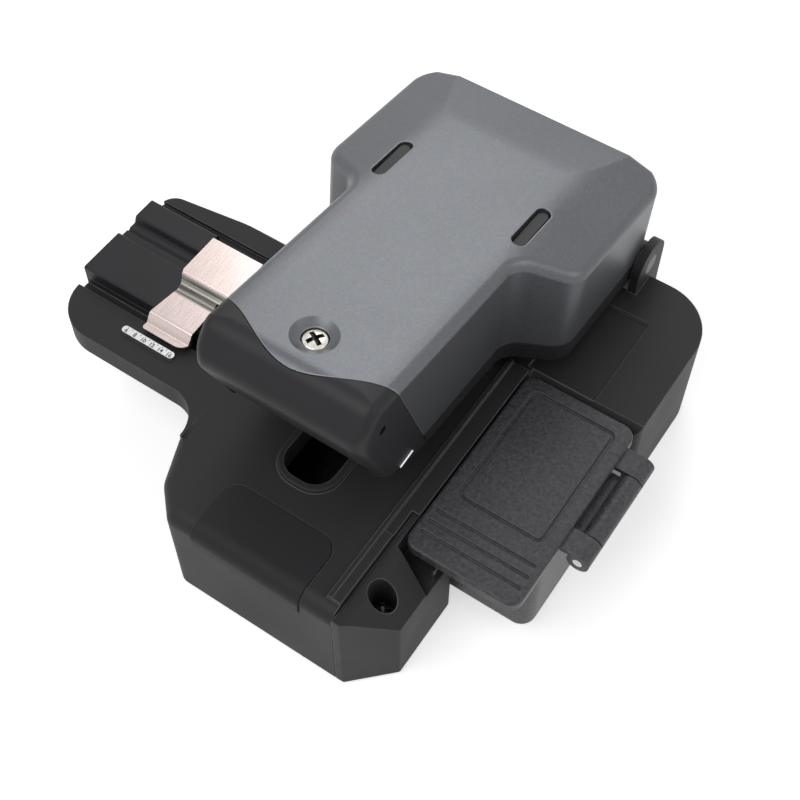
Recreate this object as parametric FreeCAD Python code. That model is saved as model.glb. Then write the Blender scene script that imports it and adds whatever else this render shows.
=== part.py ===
import FreeCAD, Part
import math
import os

# Hand-held cleaver for optical fibre, in millimetres.
# The origin is on the table under the cleave point: +X runs along the fibre
# towards the waste bin, +Y towards the lever hinge and +Z up.
# The lever is drawn closed and then swung up to the ajar pose it rests in.

os.makedirs("parts", exist_ok=True)

V = FreeCAD.Vector
X_AXIS = V(1, 0, 0)
Y_AXIS = V(0, 1, 0)
Z_AXIS = V(0, 0, 1)

# ---------------------------------------------------------------- clearances
SEAT_GAP = 0.10          # between parts that are screwed or glued together
RUN_GAP = 0.05           # radial gap of a pin turning in its hole
SLIDE_GAP = 0.10         # either side of a sliding part
SEAM_GAP = 0.15          # visible joint line between two mouldings
WELD = 0.5               # overlap that joins two bodies of one casting
BEYOND = 80.0            # reach of a cutting body past the part it cuts
SAME = 0.01              # lengths closer than this count as equal
ROUND_END = 0.98         # corner radius of a rounded end, as a share of its half width

# ------------------------------------------------------------- feet and base
FOOT_HEIGHT = 0.8
FOOT_RADIUS = 3.4
FOOT_SEAT = 0.4
COVER_THICKNESS = 1.6
COVER_INSET = 3.0
COVER_CORNER_RADIUS = 2.0
COVER_SCREW_INSET = 3.0

# -------------------------------------------------------------- main casting
FRONT_Y = -44.4
REAR_Y = 48.9
FRONT_LEFT_X = -14.8
WAIST_X = -20.0
WAIST_Y = -39.0
BODY_LEFT_X = -24.4
BODY_SHOULDER_Y = -27.0
FLANK_X = -23.4
FLANK_Y = -30.5
HOUSING_SPLIT_X = 19.6
BAY_LEFT_X = 21.1
BAY_FRONT_Y = -20.2
BAY_REAR_Y = 16.0
REAR_BLOCK_RIGHT_X = 44.0
REAR_CORNER_RADIUS = 11.0
FRONT_CORNER_RADIUS = 2.5
WAIST_RADIUS = 5.0
FLANK_RADIUS = 12.0
REAR_LEFT_RADIUS = 6.0
BAY_CORNER_RADIUS = 2.0
FRONT_DECK_Z = 25.0
REAR_DECK_Z = 23.4
FRONT_EDGE_RADIUS = 3.0
REAR_EDGE_CHAMFER = 1.8
STEP_REAR_Y = 38.6
STEP_X = 33.9
STEP_LEFT_X = 20.0
STEP_DEPTH = 0.5
RAIL_LEFT_X = 16.9
RAIL_WIDTH = 0.9
RAIL_HEIGHT = 0.6
STRIP_END_Y = -26.0
STRIP_HEIGHT = 0.5
SHELF_RIGHT_X = 36.0
SHELF_HALF_LENGTH = 13.0
SHELF_TOP_Z = 3.3
SHELF_CORNER_RADIUS = 4.0

# -------------------------------------------------------- right-hand housing
HOUSING_RIGHT_X = 28.5
HOUSING_CHAMFER = 7.2
HOUSING_TOP_Z = 24.2
HOUSING_BREAK_X = 21.8
HOUSING_SIDE_Z = 17.8
HOUSING_SCREW_Y = -35.2
HOUSING_SCREW_X = 23.6
HOUSING_BORE_RADIUS = 2.5
HOUSING_BORE_DEPTH = 9.0
HOUSING_CORNER_RADIUS = 0.8
HOUSING_REAR_RADIUS = 1.5
HOUSING_BREAK_RADIUS = 4.0
TAB_RIGHT_X = 26.2
TAB_HALF_LENGTH = 2.4
TAB_TOP_Z = 10.5

# ------------------------------------------------------------- front grip pad
PAD_LEFT_X = -9.6
PAD_RIGHT_X = 13.0
PAD_REAR_Y = -32.3
PAD_BOTTOM_Z = 20.0
PAD_THICKNESS = 1.2
PAD_PROUD = 0.3
PAD_CORNER_RADIUS = 3.4

# ------------------------------------------------------------------ left arm
ARM_LEFT_X = -60.0
ARM_FRONT_Y = -23.4
ARM_REAR_Y = 12.6
ARM_REAR_BULGE = 2.4
ARM_THICKNESS = 5.0
ARM_FRONT_RADIUS = 9.0
ARM_REAR_RADIUS = 3.5
ARM_RIB_THICKNESS = 2.4
ARM_RIB_REACH = 20.0
ARM_RIB_DROP = 11.0
ARM_BOW_RADIUS = 30.0

# -------------------------------------------------- fibre line and the holder
FIBRE_Y = 0.3
FIBRE_Z = 26.5
HOLDER_RIGHT_X = -18.6
HOLDER_TOP_Z = 27.9
HOLDER_FRONT_Y = -12.4
HOLDER_MAIN_REAR_Y = -2.3
HOLDER_BACK_FRONT_Y = 2.8
HOLDER_REAR_Y = 7.9
FIBRE_GROOVE_WIDTH = 0.9
CHANNEL_WIDTH = 2.2
CHANNEL_DEPTH = 1.8
HOLDER_EDGE_RADIUS = 0.5
HOLDER_BEVEL = 0.6
REAR_NOTCH_WIDTH = 2.6

# --------------------------------------------------------------------- ruler
RULER_INSET = 14.0
RULER_LENGTH = 12.0
RULER_WIDTH = 1.5
RULER_Y = -18.2
RULER_THICKNESS = 0.8
RULER_PEG_INSET = 2.4
PEG_LENGTH = 1.0

# ------------------------------------------------------------ spring-leaf clip
CLIP_LEFT_X = -43.6
CLIP_WIDTH = 11.8
CLIP_WAIST = 2.2
CLIP_FRONT_TAPER = 0.8
CLIP_CORNER = 2.5
CLIP_SOFT = 0.6
CLIP_OVERHANG = 1.2
CLIP_RAMP = 1.1
CLIP_BEND = 0.4
CLIP_BEAD_RADIUS = 0.3
CLIP_THICKNESS = 0.5
CLIP_LIFT = 0.35
CLIP_FRONT_Y = -16.6
CLIP_LIP_Z = 26.0
CLIP_AXIS_Y = 5.8
CLIP_AXIS_Z = 26.9
CLIP_PIN_RADIUS = 0.6
CLIP_BARREL_RADIUS = 1.1
CLIP_BEAD_HEIGHT = 0.7
CLIP_BEAD_PITCH = 2.4
CLIP_BEAD_Y = -5.2
CLIP_PIN_GRIP = 2.0
CLIP_POCKET_GAP = 0.2
CLIP_PAD_LENGTH = 7.0
CLIP_PAD_WIDTH = 3.4

# --------------------------------------------------- blade window and carriage
WINDOW_HALF_WIDTH = 5.0
WINDOW_FRONT_Y = -26.3
WINDOW_REAR_Y = 14.6
WINDOW_RADIUS = 4.0
RIM_WIDTH = 1.3
RIM_HEIGHT = 0.9
CAVITY_HALF_WIDTH = 12.4
CAVITY_FRONT_Y = -29.0
CAVITY_REAR_Y = 18.0
CAVITY_FLOOR_Z = 4.4
CAVITY_ROOF_Z = 20.8
GUIDE_WIDTH = 7.0
GUIDE_HEIGHT = 4.4
GUIDE_WAIST = 0.72
GUIDE_LIP = 0.3
GUIDE_END_GAP = 1.5
GUIDE_SCREW_PITCH = 15.0
CARRIAGE_Y = 4.0
CARRIAGE_WIDTH = 17.0
CARRIAGE_LENGTH = 18.0
CARRIAGE_HEIGHT = 5.4
CARRIAGE_LIFT = 0.8
CARRIAGE_LUG = 3.0
CARRIAGE_LUG_DROP = 1.0
BLADE_RADIUS = 7.4
BLADE_THICKNESS = 1.6
BLADE_BORE = 2.0
BLADE_BEVEL = 1.2
BLADE_DROP = 0.05
CHEEK_THICKNESS = 2.8
CHEEK_HALF_LENGTH = 6.2
CHEEK_TAPER = 0.7
CHEEK_RADIUS = 3.0
HOLDER_FOOT_LEDGE = 1.4
HOLDER_FOOT_INSET = 1.0
AXLE_HEAD = 1.4
HOLDER_FOOT_HEIGHT = 0.9
CARRIAGE_SPRING_RADIUS = 1.3
CARRIAGE_SPRING_WIRE = 0.4
CARRIAGE_SPRING_COILS = 12
POST_RADIUS = 0.9
POST_INSET = 1.0

# ------------------------------------------------------------- fibre clamps
CLAMP_SPACING = 10.0
CLAMP_HALF_WIDTH = 2.9
CLAMP_HALF_LENGTH = 4.6
CLAMP_BLOCK_HEIGHT = 3.0
CLAMP_BLOCK_PROUD = 0.5
CLAMP_PAD_INSET = 0.7
CLAMP_PAD_GAP = 0.05
CLAMP_PAD_EDGE = 0.25
REST_PAD_RADIUS = 2.0
REST_PAD_X = 13.2
REST_PAD_Y = 12.6

# ---------------------------------------------------------------------- lever
HINGE_Y = 48.2
HINGE_Z = 27.6
LEVER_AJAR = 6.0
LEVER_NARROW = 16.5
LEVER_WIDE = 26.2
LEVER_NOSE_Y = -33.0
LEVER_NOSE_FOOT_Y = -24.4
LEVER_NOSE_Z = 45.5
LEVER_REAR_Y = 53.6
LEVER_REAR_SLOPE = 0.14
LEVER_REAR_STRAIGHT = 8.0
LEVER_REAR_MARGIN = 0.4
LEVER_FOOT_Z = 26.4
LEVER_TOE_Y = -13.0
LEVER_TOE_LIFT = 3.2
LEVER_HEEL_Z = 25.1
LEVER_TOP_FRONT_Z = 52.2
LEVER_TOP_FRONT_Y = -28.6
LEVER_TOP_SLOPE = 0.041
LEVER_REAR_BREAK_Y = 38.0
LEVER_REAR_DROP = 1.5
LEVER_CROWN_INSET = 2.0
LEVER_CROWN_SLOPE = 0.283
LEVER_CROWN_RADIUS = 20.0
LEVER_SHOULDER_FRONT_Y = 13.0
LEVER_SHOULDER_REAR_Y = 18.4
LEVER_SHOULDER_RADIUS = 5.0
LEVER_FRONT_RADIUS = 4.0
LEVER_REAR_RADIUS = 6.0
LEVER_EDGE_RADIUS = 2.0
LEVER_WALL = 2.2
LEVER_TOE_RADIUS = 12.0
LEVER_BREAK_RADIUS = 30.0
LEVER_BROW_RADIUS = 4.0
UPRIGHT_SLOPE = 0.2
TOP_SLOPE = 0.5
FRAME_TOP_Z = 29.6
SEAM_TIP_Y = -29.4
SEAM_FLANK_Y = -26.6
SEAM_SIDE_Y = -24.3
SEAM_EDGE_Y = -23.7
SEAM_LEAN = 0.47
SEAM_MARGIN = 2.0
SEAM_SIDE_INSET = 3.5
SLOT_SPACING = 28.4
SLOT_Y = 21.4
SLOT_LENGTH = 11.0
SLOT_WIDTH = 2.8
SLOT_DEPTH = 0.5
SLOT_INSERT = 1.0
COVER_SCREW_Y = -21.4
COVER_DISH_RADIUS = 4.1
COVER_DISH_DEPTH = 1.5
COVER_BOSS_RADIUS = 3.6

# ------------------------------------------------- steel arm inside the lever
STEEL = 1.5
ARM_GAP = 0.7
WEB_TOP_Z = 44.0
FLANGE_TOE_Z = 28.2
FLANGE_TOE_Y = -19.6
FLANGE_TOE_LENGTH = 11.0
FLANGE_BOTTOM_Z = 30.4
WEB_REAR_Y = 36.0
EYE_RADIUS = 4.2
FLANGE_RAMP = 3.0
FLANGE_HEEL = 4.0
FLANGE_RADIUS = 2.0
NOSE_EAR_RADIUS = 1.0
NOSE_PIN_Y = -26.4
NOSE_PIN_Z = 45.3
NOSE_PIN_RADIUS = 0.9
NOSE_EAR = 2.2
NOSE_PIN_INSET = 1.6

# --------------------------------------------------------------- hinge shaft
SHAFT_RADIUS = 2.0
EAR_THICKNESS = 1.8
EAR_RADIUS = 5.0
WASHER_THICKNESS = 0.3
LUG_RADIUS = 3.6
HINGE_POCKET_RADIUS = 6.3
TORSION_COIL_RADIUS = 3.4
TORSION_WIRE = 1.1
TORSION_COILS = 6
TORSION_PITCH = 1.9

# ------------------------------------------------- sprung upper clamp, anvil
CARRIER_HEIGHT = 3.0
CARRIER_BOTTOM_Z = 30.4
CLAMP_TRAVEL = 1.0
GUIDE_PIN_X = 6.2
GUIDE_PIN_RADIUS = 1.2
GUIDE_PIN_HEAD = 0.9
CLAMP_SPRING_WIRE = 0.5
CLAMP_SPRING_COILS = 6
ANVIL_HALF_WIDTH = 2.0
ANVIL_HALF_LENGTH = 3.6
ANVIL_FACE_THICKNESS = 1.0
ANVIL_GAP = 0.45

# ---------------------------------------------------------------- waste bin
BIN_FRONT_Y = -19.4
BIN_REAR_Y = 15.0
BIN_RIGHT_X = 43.6
BIN_WALL = 1.4
BIN_CORNER_RADIUS = 3.0
LID_LEFT_X = 21.5
LID_RIGHT_X = 43.9
LID_FRONT_Y = -26.3
LID_REAR_Y = 15.3
LID_TOP_Z = 25.3
LID_THICKNESS = 2.0
LID_CORNER_RADIUS = 2.6
LID_PANEL_INSET = 2.6
LID_PANEL_FRONT_Y = -13.8
LID_GROOVE_WIDTH = 0.8
LID_GROOVE_DEPTH = 0.5
LID_GRIP_Y = -23.0
LID_GRIP_PITCH = 2.4
LID_GRIP_COUNT = 3
LID_PANEL_RADIUS = 1.6
TONGUE_OVERLAP = 1.5
KNUCKLE_X = 47.4
KNUCKLE_Z = 22.2
KNUCKLE_RADIUS = 2.1
KNUCKLE_FRONT_Y = -11.8
KNUCKLE_REAR_Y = 11.8
KNUCKLE_END = 4.6
KNUCKLE_GAP = 0.25
LID_PIN_RADIUS = 0.9
CATCH_LENGTH = 4.0
CATCH_HEIGHT = 3.0
CATCH_THICKNESS = 0.4

# --------------------------------------------------------------------- screws
M2_SHANK = 1.0
M2_HEAD = 1.9
SMALL_HEAD = 1.6
M25_SHANK = 1.25
M25_HEAD = 2.25
HEAD_HEIGHT = 1.4
CROSS_DEPTH = 0.8
CROSS_WIDTH = 0.6
CROSS_REACH = 0.62

# ------------------------------------------------------------- small features
BODY_FILLET = 7.0
EAR_FOOT = 6.0
EAR_BRIDGE = 3.4
COVER_SCREW_LENGTH = 4.0
PEG_RADIUS = 0.6
HOUSING_FALL = 0.6
HOUSING_MARGIN = 1.0
HOUSING_SCREW_LENGTH = 9.0
LID_ROOM = 0.6
RECESS_SLANT = 2.6
RECESS_DEPTH = 7.0
FOOT_MARGIN = 2.0
CARRIAGE_SCREW_X = -1.9
CARRIAGE_SCREW_Y = 6.2
CARRIAGE_SCREW_GRIP = 1.5
HOLDER_FOOT_HALF = 3.6
AXLE_RADIUS = 1.2
LUG_WIDTH = 3.4
SLOT_FALL = 0.2
NOTCH_X = 9.0
NOTCH_HALF = 4.0
NOTCH_DEPTH = 0.8
NOTCH_HEIGHT = 0.8
BAR_PLACES = (20.0, 28.5)
BAR_LENGTH = 5.0
BAR_BOTTOM_Z = 27.4
BAR_POST_RADIUS = 2.4
FRAME_SCREW_LENGTH = 5.0
ANVIL_STEM = 1.3
PIN_SHOULDER = 0.7
UPPER_PAD_THICKNESS = 1.4
KNUCKLE_WEB = 2.4
CLIP_PAD_GAP = 0.15

# ------------------------------------------------------------ derived values
BASE_Z = FOOT_HEIGHT
COVER_TOP_Z = BASE_Z + COVER_THICKNESS
BAY_MIDDLE_Y = (BAY_FRONT_Y + BAY_REAR_Y) / 2
RULER_LEFT_X = ARM_LEFT_X + RULER_INSET
GUIDE_LENGTH = CAVITY_REAR_Y - CAVITY_FRONT_Y - 2 * GUIDE_END_GAP
ARM_HALF_WIDTH = LEVER_NARROW - LEVER_WALL - ARM_GAP
LEVER_CROWN_FLAT = LEVER_NARROW - LEVER_CROWN_INSET
HOLDER_BASE_Z = FRONT_DECK_Z
WEB_BOTTOM_Z = WEB_TOP_Z - STEEL
BLADE_Z = FIBRE_Z - BLADE_DROP - BLADE_RADIUS
GUIDE_TOP_Z = CAVITY_FLOOR_Z + GUIDE_HEIGHT
CARRIAGE_BOTTOM_Z = CAVITY_FLOOR_Z + CARRIAGE_LIFT
CARRIAGE_TOP_Z = CARRIAGE_BOTTOM_Z + CARRIAGE_HEIGHT
LEVER_REAR_BOW = (LEVER_WIDE - LEVER_REAR_STRAIGHT) / LEVER_REAR_SLOPE
LEVER_BOW_RISE = LEVER_REAR_BOW * (math.hypot(1, LEVER_REAR_SLOPE) - 1)
LEVER_BOW_DROP = LEVER_REAR_SLOPE * LEVER_WIDE - LEVER_BOW_RISE
EAR_INNER_X = LEVER_WIDE + WASHER_THICKNESS + SLIDE_GAP
EAR_OUTER_X = EAR_INNER_X + EAR_THICKNESS
CLIP_RIGHT_X = CLIP_LEFT_X + CLIP_WIDTH
CLIP_BOTTOM_Z = HOLDER_TOP_Z + CLIP_LIFT
LOWER_PAD_TOP_Z = FIBRE_Z - CLAMP_PAD_GAP
UPPER_PAD_BOTTOM_Z = FIBRE_Z + CLAMP_PAD_GAP
ANVIL_BOTTOM_Z = FIBRE_Z + ANVIL_GAP


# ================================================================ drawing aids

def box(x0, x1, y0, y1, z0, z1):
    """Rectangular block between two corners."""
    return Part.makeBox(x1 - x0, y1 - y0, z1 - z0, V(x0, y0, z0))


def rod(start, direction, radius, length):
    """Round bar from a start point."""
    return Part.makeCylinder(radius, length, start, direction)


def tube(start, direction, outer, inner, length):
    """Round bar with a through bore."""
    bar = rod(start, direction, outer, length)
    return bar.cut(rod(start, direction, inner, length))


def corner_arc(before, corner, after):
    """Points that round one corner (u, v, radius) of an outline."""
    here = V(corner[0], corner[1], 0)
    if corner[2] == 0:
        return [here]
    back = (V(before[0], before[1], 0) - here).normalize()
    ahead = (V(after[0], after[1], 0) - here).normalize()
    half = back.getAngle(ahead) / 2
    reach = corner[2] / math.tan(half)
    centre = here + (back + ahead).normalize() * (corner[2] / math.sin(half))
    middle = centre + (here - centre).normalize() * corner[2]
    return [here + back * reach, middle, here + ahead * reach]


def outline_face(corners, to_space):
    """Flat face inside an outline whose corners are (u, v, radius)."""
    edges = []
    runs = []
    count = len(corners)
    for i in range(count):
        runs.append(corner_arc(corners[i - 1], corners[i], corners[(i + 1) % count]))
    for i in range(count):
        run = [to_space(p.x, p.y) for p in runs[i]]
        following = runs[(i + 1) % count][0]
        if len(run) == 3:
            edges.append(Part.Arc(run[0], run[1], run[2]).toShape())
        edges.append(Part.makeLine(run[-1], to_space(following.x, following.y)))
    return Part.Face(Part.Wire(edges))


def plan(corners, z0, z1):
    """Upright prism from an outline drawn on the table."""
    return outline_face(corners, lambda u, v: V(u, v, z0)).extrude(V(0, 0, z1 - z0))


def side(corners, x0, x1):
    """Prism along X from an outline drawn in (y, z)."""
    return outline_face(corners, lambda u, v: V(x0, u, v)).extrude(V(x1 - x0, 0, 0))


def front(corners, y0, y1):
    """Prism along Y from an outline drawn in (x, z)."""
    return outline_face(corners, lambda u, v: V(u, y0, v)).extrude(V(0, y1 - y0, 0))


def rectangle(u0, u1, v0, v1, radius):
    """Corners of a rounded rectangle."""
    return [(u0, v0, radius), (u1, v0, radius), (u1, v1, radius), (u0, v1, radius)]


def mirrored(corners):
    """Outline followed by its mirror image across the Y axis."""
    return corners + [(-u, v, r) for u, v, r in reversed(corners)]


def round_edges(solid, radius, wanted):
    """Round the edges that a test picks out."""
    return solid.makeFillet(radius, [edge for edge in solid.Edges if wanted(edge)])


def at_height(edge, z):
    """True for a level edge at one height."""
    return abs(edge.BoundBox.ZMin - z) < SAME and abs(edge.BoundBox.ZMax - z) < SAME


def swing(shape, angle):
    """Turn a lever part about the hinge; positive raises the nose."""
    moved = shape.copy()
    moved.rotate(V(0, HINGE_Y, HINGE_Z), V(-1, 0, 0), angle)
    return moved


def ajar(shape):
    """Lever part in the ajar pose that the cleaver rests in."""
    return swing(shape, LEVER_AJAR)


def coil(start, direction, radius, wire, length, turns):
    """Helical spring of round wire, with its axis through the start point."""
    helix = Part.makeHelix(length / turns, length, radius)
    ring = Part.Wire(Part.makeCircle(wire / 2, V(radius, 0, 0), Y_AXIS))
    spring = Part.Wire(helix.Edges).makePipeShell([ring], True, True)
    spring.Placement = FreeCAD.Placement(start, FreeCAD.Rotation(Z_AXIS, direction))
    return spring


def cross_screw(head_top, shank_radius, head_radius, length):
    """Pan-head screw pointing down, with a cross recess in its head."""
    head = rod(head_top - Z_AXIS * HEAD_HEIGHT, Z_AXIS, head_radius, HEAD_HEIGHT)
    head = round_edges(head, HEAD_HEIGHT / 3, lambda edge: at_height(edge, head_top.z))
    shank = rod(head_top - Z_AXIS * length, Z_AXIS, shank_radius, length - HEAD_HEIGHT)
    reach = head_radius * CROSS_REACH
    floor = head_top.z - CROSS_DEPTH
    half = CROSS_WIDTH / 2
    x, y = head_top.x, head_top.y
    recess = box(x - reach, x + reach, y - half, y + half, floor, head_top.z)
    recess = recess.fuse(box(x - half, x + half, y - reach, y + reach, floor, head_top.z))
    return head.fuse(shank).cut(recess).removeSplitter()


def save(name, shape):
    """Write one named part."""
    shape.exportStep("parts/" + name + ".step")


# ============================================================== fixed chassis

def body_outline():
    """Plan of the main casting, clockwise from the front left corner."""
    return [
        (FRONT_LEFT_X, FRONT_Y, FRONT_CORNER_RADIUS),
        (WAIST_X, WAIST_Y, WAIST_RADIUS),
        (FLANK_X, FLANK_Y, FLANK_RADIUS),
        (BODY_LEFT_X, BODY_SHOULDER_Y, 0),
        (BODY_LEFT_X, REAR_Y, REAR_LEFT_RADIUS),
        (REAR_BLOCK_RIGHT_X, REAR_Y, REAR_CORNER_RADIUS),
        (REAR_BLOCK_RIGHT_X, BAY_REAR_Y, BAY_CORNER_RADIUS),
        (BAY_LEFT_X, BAY_REAR_Y, 0),
        (BAY_LEFT_X, BAY_FRONT_Y, 0),
        (HOUSING_SPLIT_X, BAY_FRONT_Y, 0),
        (HOUSING_SPLIT_X, FRONT_Y, 0),
    ]


def chassis_block():
    """Outer casting: tall in front, lower behind, without any openings."""
    block = plan(body_outline(), BASE_Z, FRONT_DECK_Z)
    block = round_edges(block, FRONT_EDGE_RADIUS, lambda edge: front_top(edge))
    step = box(-BEYOND, BEYOND, BAY_REAR_Y, BEYOND, REAR_DECK_Z, BEYOND)
    low = REAR_DECK_Z - REAR_EDGE_CHAMFER
    edge = [(BAY_REAR_Y - WELD, low, 0), (BAY_REAR_Y, low, 0),
            (BAY_REAR_Y + REAR_EDGE_CHAMFER, REAR_DECK_Z, 0), (BAY_REAR_Y - WELD, REAR_DECK_Z, 0)]
    lip = side(edge, BAY_LEFT_X, REAR_BLOCK_RIGHT_X + WELD)
    return block.cut(step).cut(lip)


def front_top(edge):
    """True for the upper edge of the front face."""
    return at_height(edge, FRONT_DECK_Z) and edge.BoundBox.YMax < FRONT_Y + SAME


def arm_outline():
    """Plan of the left arm, with a bowed rear edge."""
    middle = (ARM_LEFT_X + BODY_LEFT_X) / 2
    return [
        (ARM_LEFT_X, ARM_FRONT_Y, ARM_FRONT_RADIUS),
        (BODY_LEFT_X + BODY_FILLET, ARM_FRONT_Y, 0),
        (BODY_LEFT_X + BODY_FILLET, ARM_REAR_Y + ARM_REAR_BULGE, 0),
        (middle, ARM_REAR_Y + ARM_REAR_BULGE, ARM_BOW_RADIUS),
        (ARM_LEFT_X, ARM_REAR_Y, ARM_REAR_RADIUS),
    ]


def arm_fillet():
    """Concave blend between the arm's front face and the body's left wall."""
    r = BODY_FILLET
    wall = FLANK_X + WELD
    z0 = FRONT_DECK_Z - ARM_THICKNESS
    block = box(wall - r, wall + WELD, ARM_FRONT_Y - r, ARM_FRONT_Y + WELD, z0, FRONT_DECK_Z)
    return block.cut(rod(V(wall - r, ARM_FRONT_Y - r, z0), Z_AXIS, r, ARM_THICKNESS))


def arm_rib(y):
    """Web that braces the arm against the left wall."""
    root = BODY_LEFT_X + WELD
    top = FRONT_DECK_Z - ARM_THICKNESS + WELD
    corners = [(root, top, 0), (root - ARM_RIB_REACH, top, 0), (root, top - ARM_RIB_DROP, 0)]
    return front(corners, y, y + ARM_RIB_THICKNESS)


def chassis_arm():
    """Left arm, its ribs and the fillet that blends it into the body."""
    arm = plan(arm_outline(), FRONT_DECK_Z - ARM_THICKNESS, FRONT_DECK_Z)
    for y in (ARM_FRONT_Y + ARM_FRONT_RADIUS, ARM_REAR_Y - ARM_RIB_THICKNESS):
        arm = arm.fuse(arm_rib(y))
    return arm.removeSplitter()


def hinge_ears():
    """The two ears that carry the hinge shaft; the left one stands out from the wall on a bridge."""
    ears = []
    for sign in (-1, 1):
        inner = EAR_INNER_X * sign
        outer = EAR_OUTER_X * sign
        low, high = min(inner, outer), max(inner, outer)
        foot_z = REAR_DECK_Z - EAR_FOOT
        ear = box(low, high, HINGE_Y - EAR_RADIUS, HINGE_Y + EAR_RADIUS, foot_z, HINGE_Z)
        ear = ear.fuse(rod(V(low, HINGE_Y, HINGE_Z), X_AXIS, EAR_RADIUS, EAR_THICKNESS))
        ears.append(ear.removeSplitter())
    bridge = box(-EAR_OUTER_X, BODY_LEFT_X + EAR_RADIUS, HINGE_Y - EAR_RADIUS, HINGE_Y,
                 REAR_DECK_Z - EAR_FOOT, REAR_DECK_Z - EAR_FOOT + EAR_BRIDGE)
    ears[0] = ears[0].fuse(bridge).removeSplitter()
    return ears


def deck_details():
    """Rim round the blade window, rail beside the bin and its wider front strip."""
    rim = plan(rectangle(-WINDOW_HALF_WIDTH - RIM_WIDTH, WINDOW_HALF_WIDTH + RIM_WIDTH,
                         WINDOW_FRONT_Y - RIM_WIDTH, WINDOW_REAR_Y + RIM_WIDTH, WINDOW_RADIUS + RIM_WIDTH),
               FRONT_DECK_Z - WELD, FRONT_DECK_Z + RIM_HEIGHT)
    rim = round_edges(rim, RIM_WIDTH / 3, lambda edge: at_height(edge, FRONT_DECK_Z + RIM_HEIGHT))
    rail = box(RAIL_LEFT_X, RAIL_LEFT_X + RAIL_WIDTH, FRONT_Y + FRONT_EDGE_RADIUS, BAY_REAR_Y,
               FRONT_DECK_Z - WELD, FRONT_DECK_Z + RAIL_HEIGHT)
    strip = box(RAIL_LEFT_X, HOUSING_SPLIT_X, FRONT_Y + FRONT_EDGE_RADIUS, STRIP_END_Y,
                FRONT_DECK_Z - WELD, FRONT_DECK_Z + STRIP_HEIGHT)
    return rim.fuse(rail).fuse(strip)


def bin_shelf():
    """Low shelf of the casting that the waste bin slides on."""
    low = BAY_MIDDLE_Y - SHELF_HALF_LENGTH
    high = BAY_MIDDLE_Y + SHELF_HALF_LENGTH
    corners = [(BAY_LEFT_X - WELD, low, 0), (SHELF_RIGHT_X, low, SHELF_CORNER_RADIUS),
               (SHELF_RIGHT_X, high, SHELF_CORNER_RADIUS), (BAY_LEFT_X - WELD, high, 0)]
    return plan(corners, BASE_Z, SHELF_TOP_Z)


def tab_body(gap):
    """Tab of the casting that the right-hand housing is screwed to, grown by a gap for cutting."""
    return box(HOUSING_SPLIT_X - WELD, TAB_RIGHT_X + gap, HOUSING_SCREW_Y - TAB_HALF_LENGTH - gap,
               HOUSING_SCREW_Y + TAB_HALF_LENGTH + gap, BASE_Z, TAB_TOP_Z + gap)


def clamp_pocket(x):
    """Recess in the deck for one lower clamp block."""
    gap = SEAT_GAP
    floor = FRONT_DECK_Z + CLAMP_BLOCK_PROUD - CLAMP_BLOCK_HEIGHT
    return box(x - CLAMP_HALF_WIDTH - gap, x + CLAMP_HALF_WIDTH + gap,
               FIBRE_Y - CLAMP_HALF_LENGTH - gap, FIBRE_Y + CLAMP_HALF_LENGTH + gap, floor, BEYOND)


def chassis_openings():
    """Everything taken out of the casting."""
    corners = rectangle(-WINDOW_HALF_WIDTH, WINDOW_HALF_WIDTH, WINDOW_FRONT_Y, WINDOW_REAR_Y, WINDOW_RADIUS)
    window = plan(corners, CAVITY_ROOF_Z - WELD, BEYOND)
    cavity = box(-CAVITY_HALF_WIDTH, CAVITY_HALF_WIDTH, CAVITY_FRONT_Y, CAVITY_REAR_Y,
                 CAVITY_FLOOR_Z, CAVITY_ROOF_Z)
    away = window.fuse(cavity)
    for sign in (-1, 1):
        away = away.fuse(clamp_pocket(CLAMP_SPACING * sign))
    inset = COVER_INSET - SEAT_GAP
    away = away.fuse(plan(inset_body(inset), 0, COVER_TOP_Z))
    barrel = rod(V(-EAR_INNER_X, HINGE_Y, HINGE_Z), X_AXIS, HINGE_POCKET_RADIUS, 2 * EAR_INNER_X)
    away = away.fuse(barrel)
    away = away.fuse(rod(V(-BEYOND, HINGE_Y, HINGE_Z), X_AXIS, SHAFT_RADIUS, 2 * BEYOND))
    away = away.fuse(box(STEP_LEFT_X, STEP_X, BAY_REAR_Y + REAR_EDGE_CHAMFER, STEP_REAR_Y,
                         REAR_DECK_Z - STEP_DEPTH, BEYOND))
    return away.fuse(pad_body(PAD_THICKNESS - PAD_PROUD, SEAT_GAP))


def inset_body(inset):
    """Plan of the cover plate, drawn in from the casting all round."""
    return [
        (FRONT_LEFT_X + inset, FRONT_Y + inset, COVER_CORNER_RADIUS),
        (HOUSING_SPLIT_X - inset, FRONT_Y + inset, COVER_CORNER_RADIUS),
        (HOUSING_SPLIT_X - inset, BAY_REAR_Y + inset, COVER_CORNER_RADIUS),
        (REAR_BLOCK_RIGHT_X - inset, BAY_REAR_Y + inset, COVER_CORNER_RADIUS),
        (REAR_BLOCK_RIGHT_X - inset, REAR_Y - inset, REAR_CORNER_RADIUS - inset),
        (BODY_LEFT_X + inset, REAR_Y - inset, REAR_LEFT_RADIUS - inset),
        (BODY_LEFT_X + inset, BODY_SHOULDER_Y + inset, COVER_CORNER_RADIUS),
    ]


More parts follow.
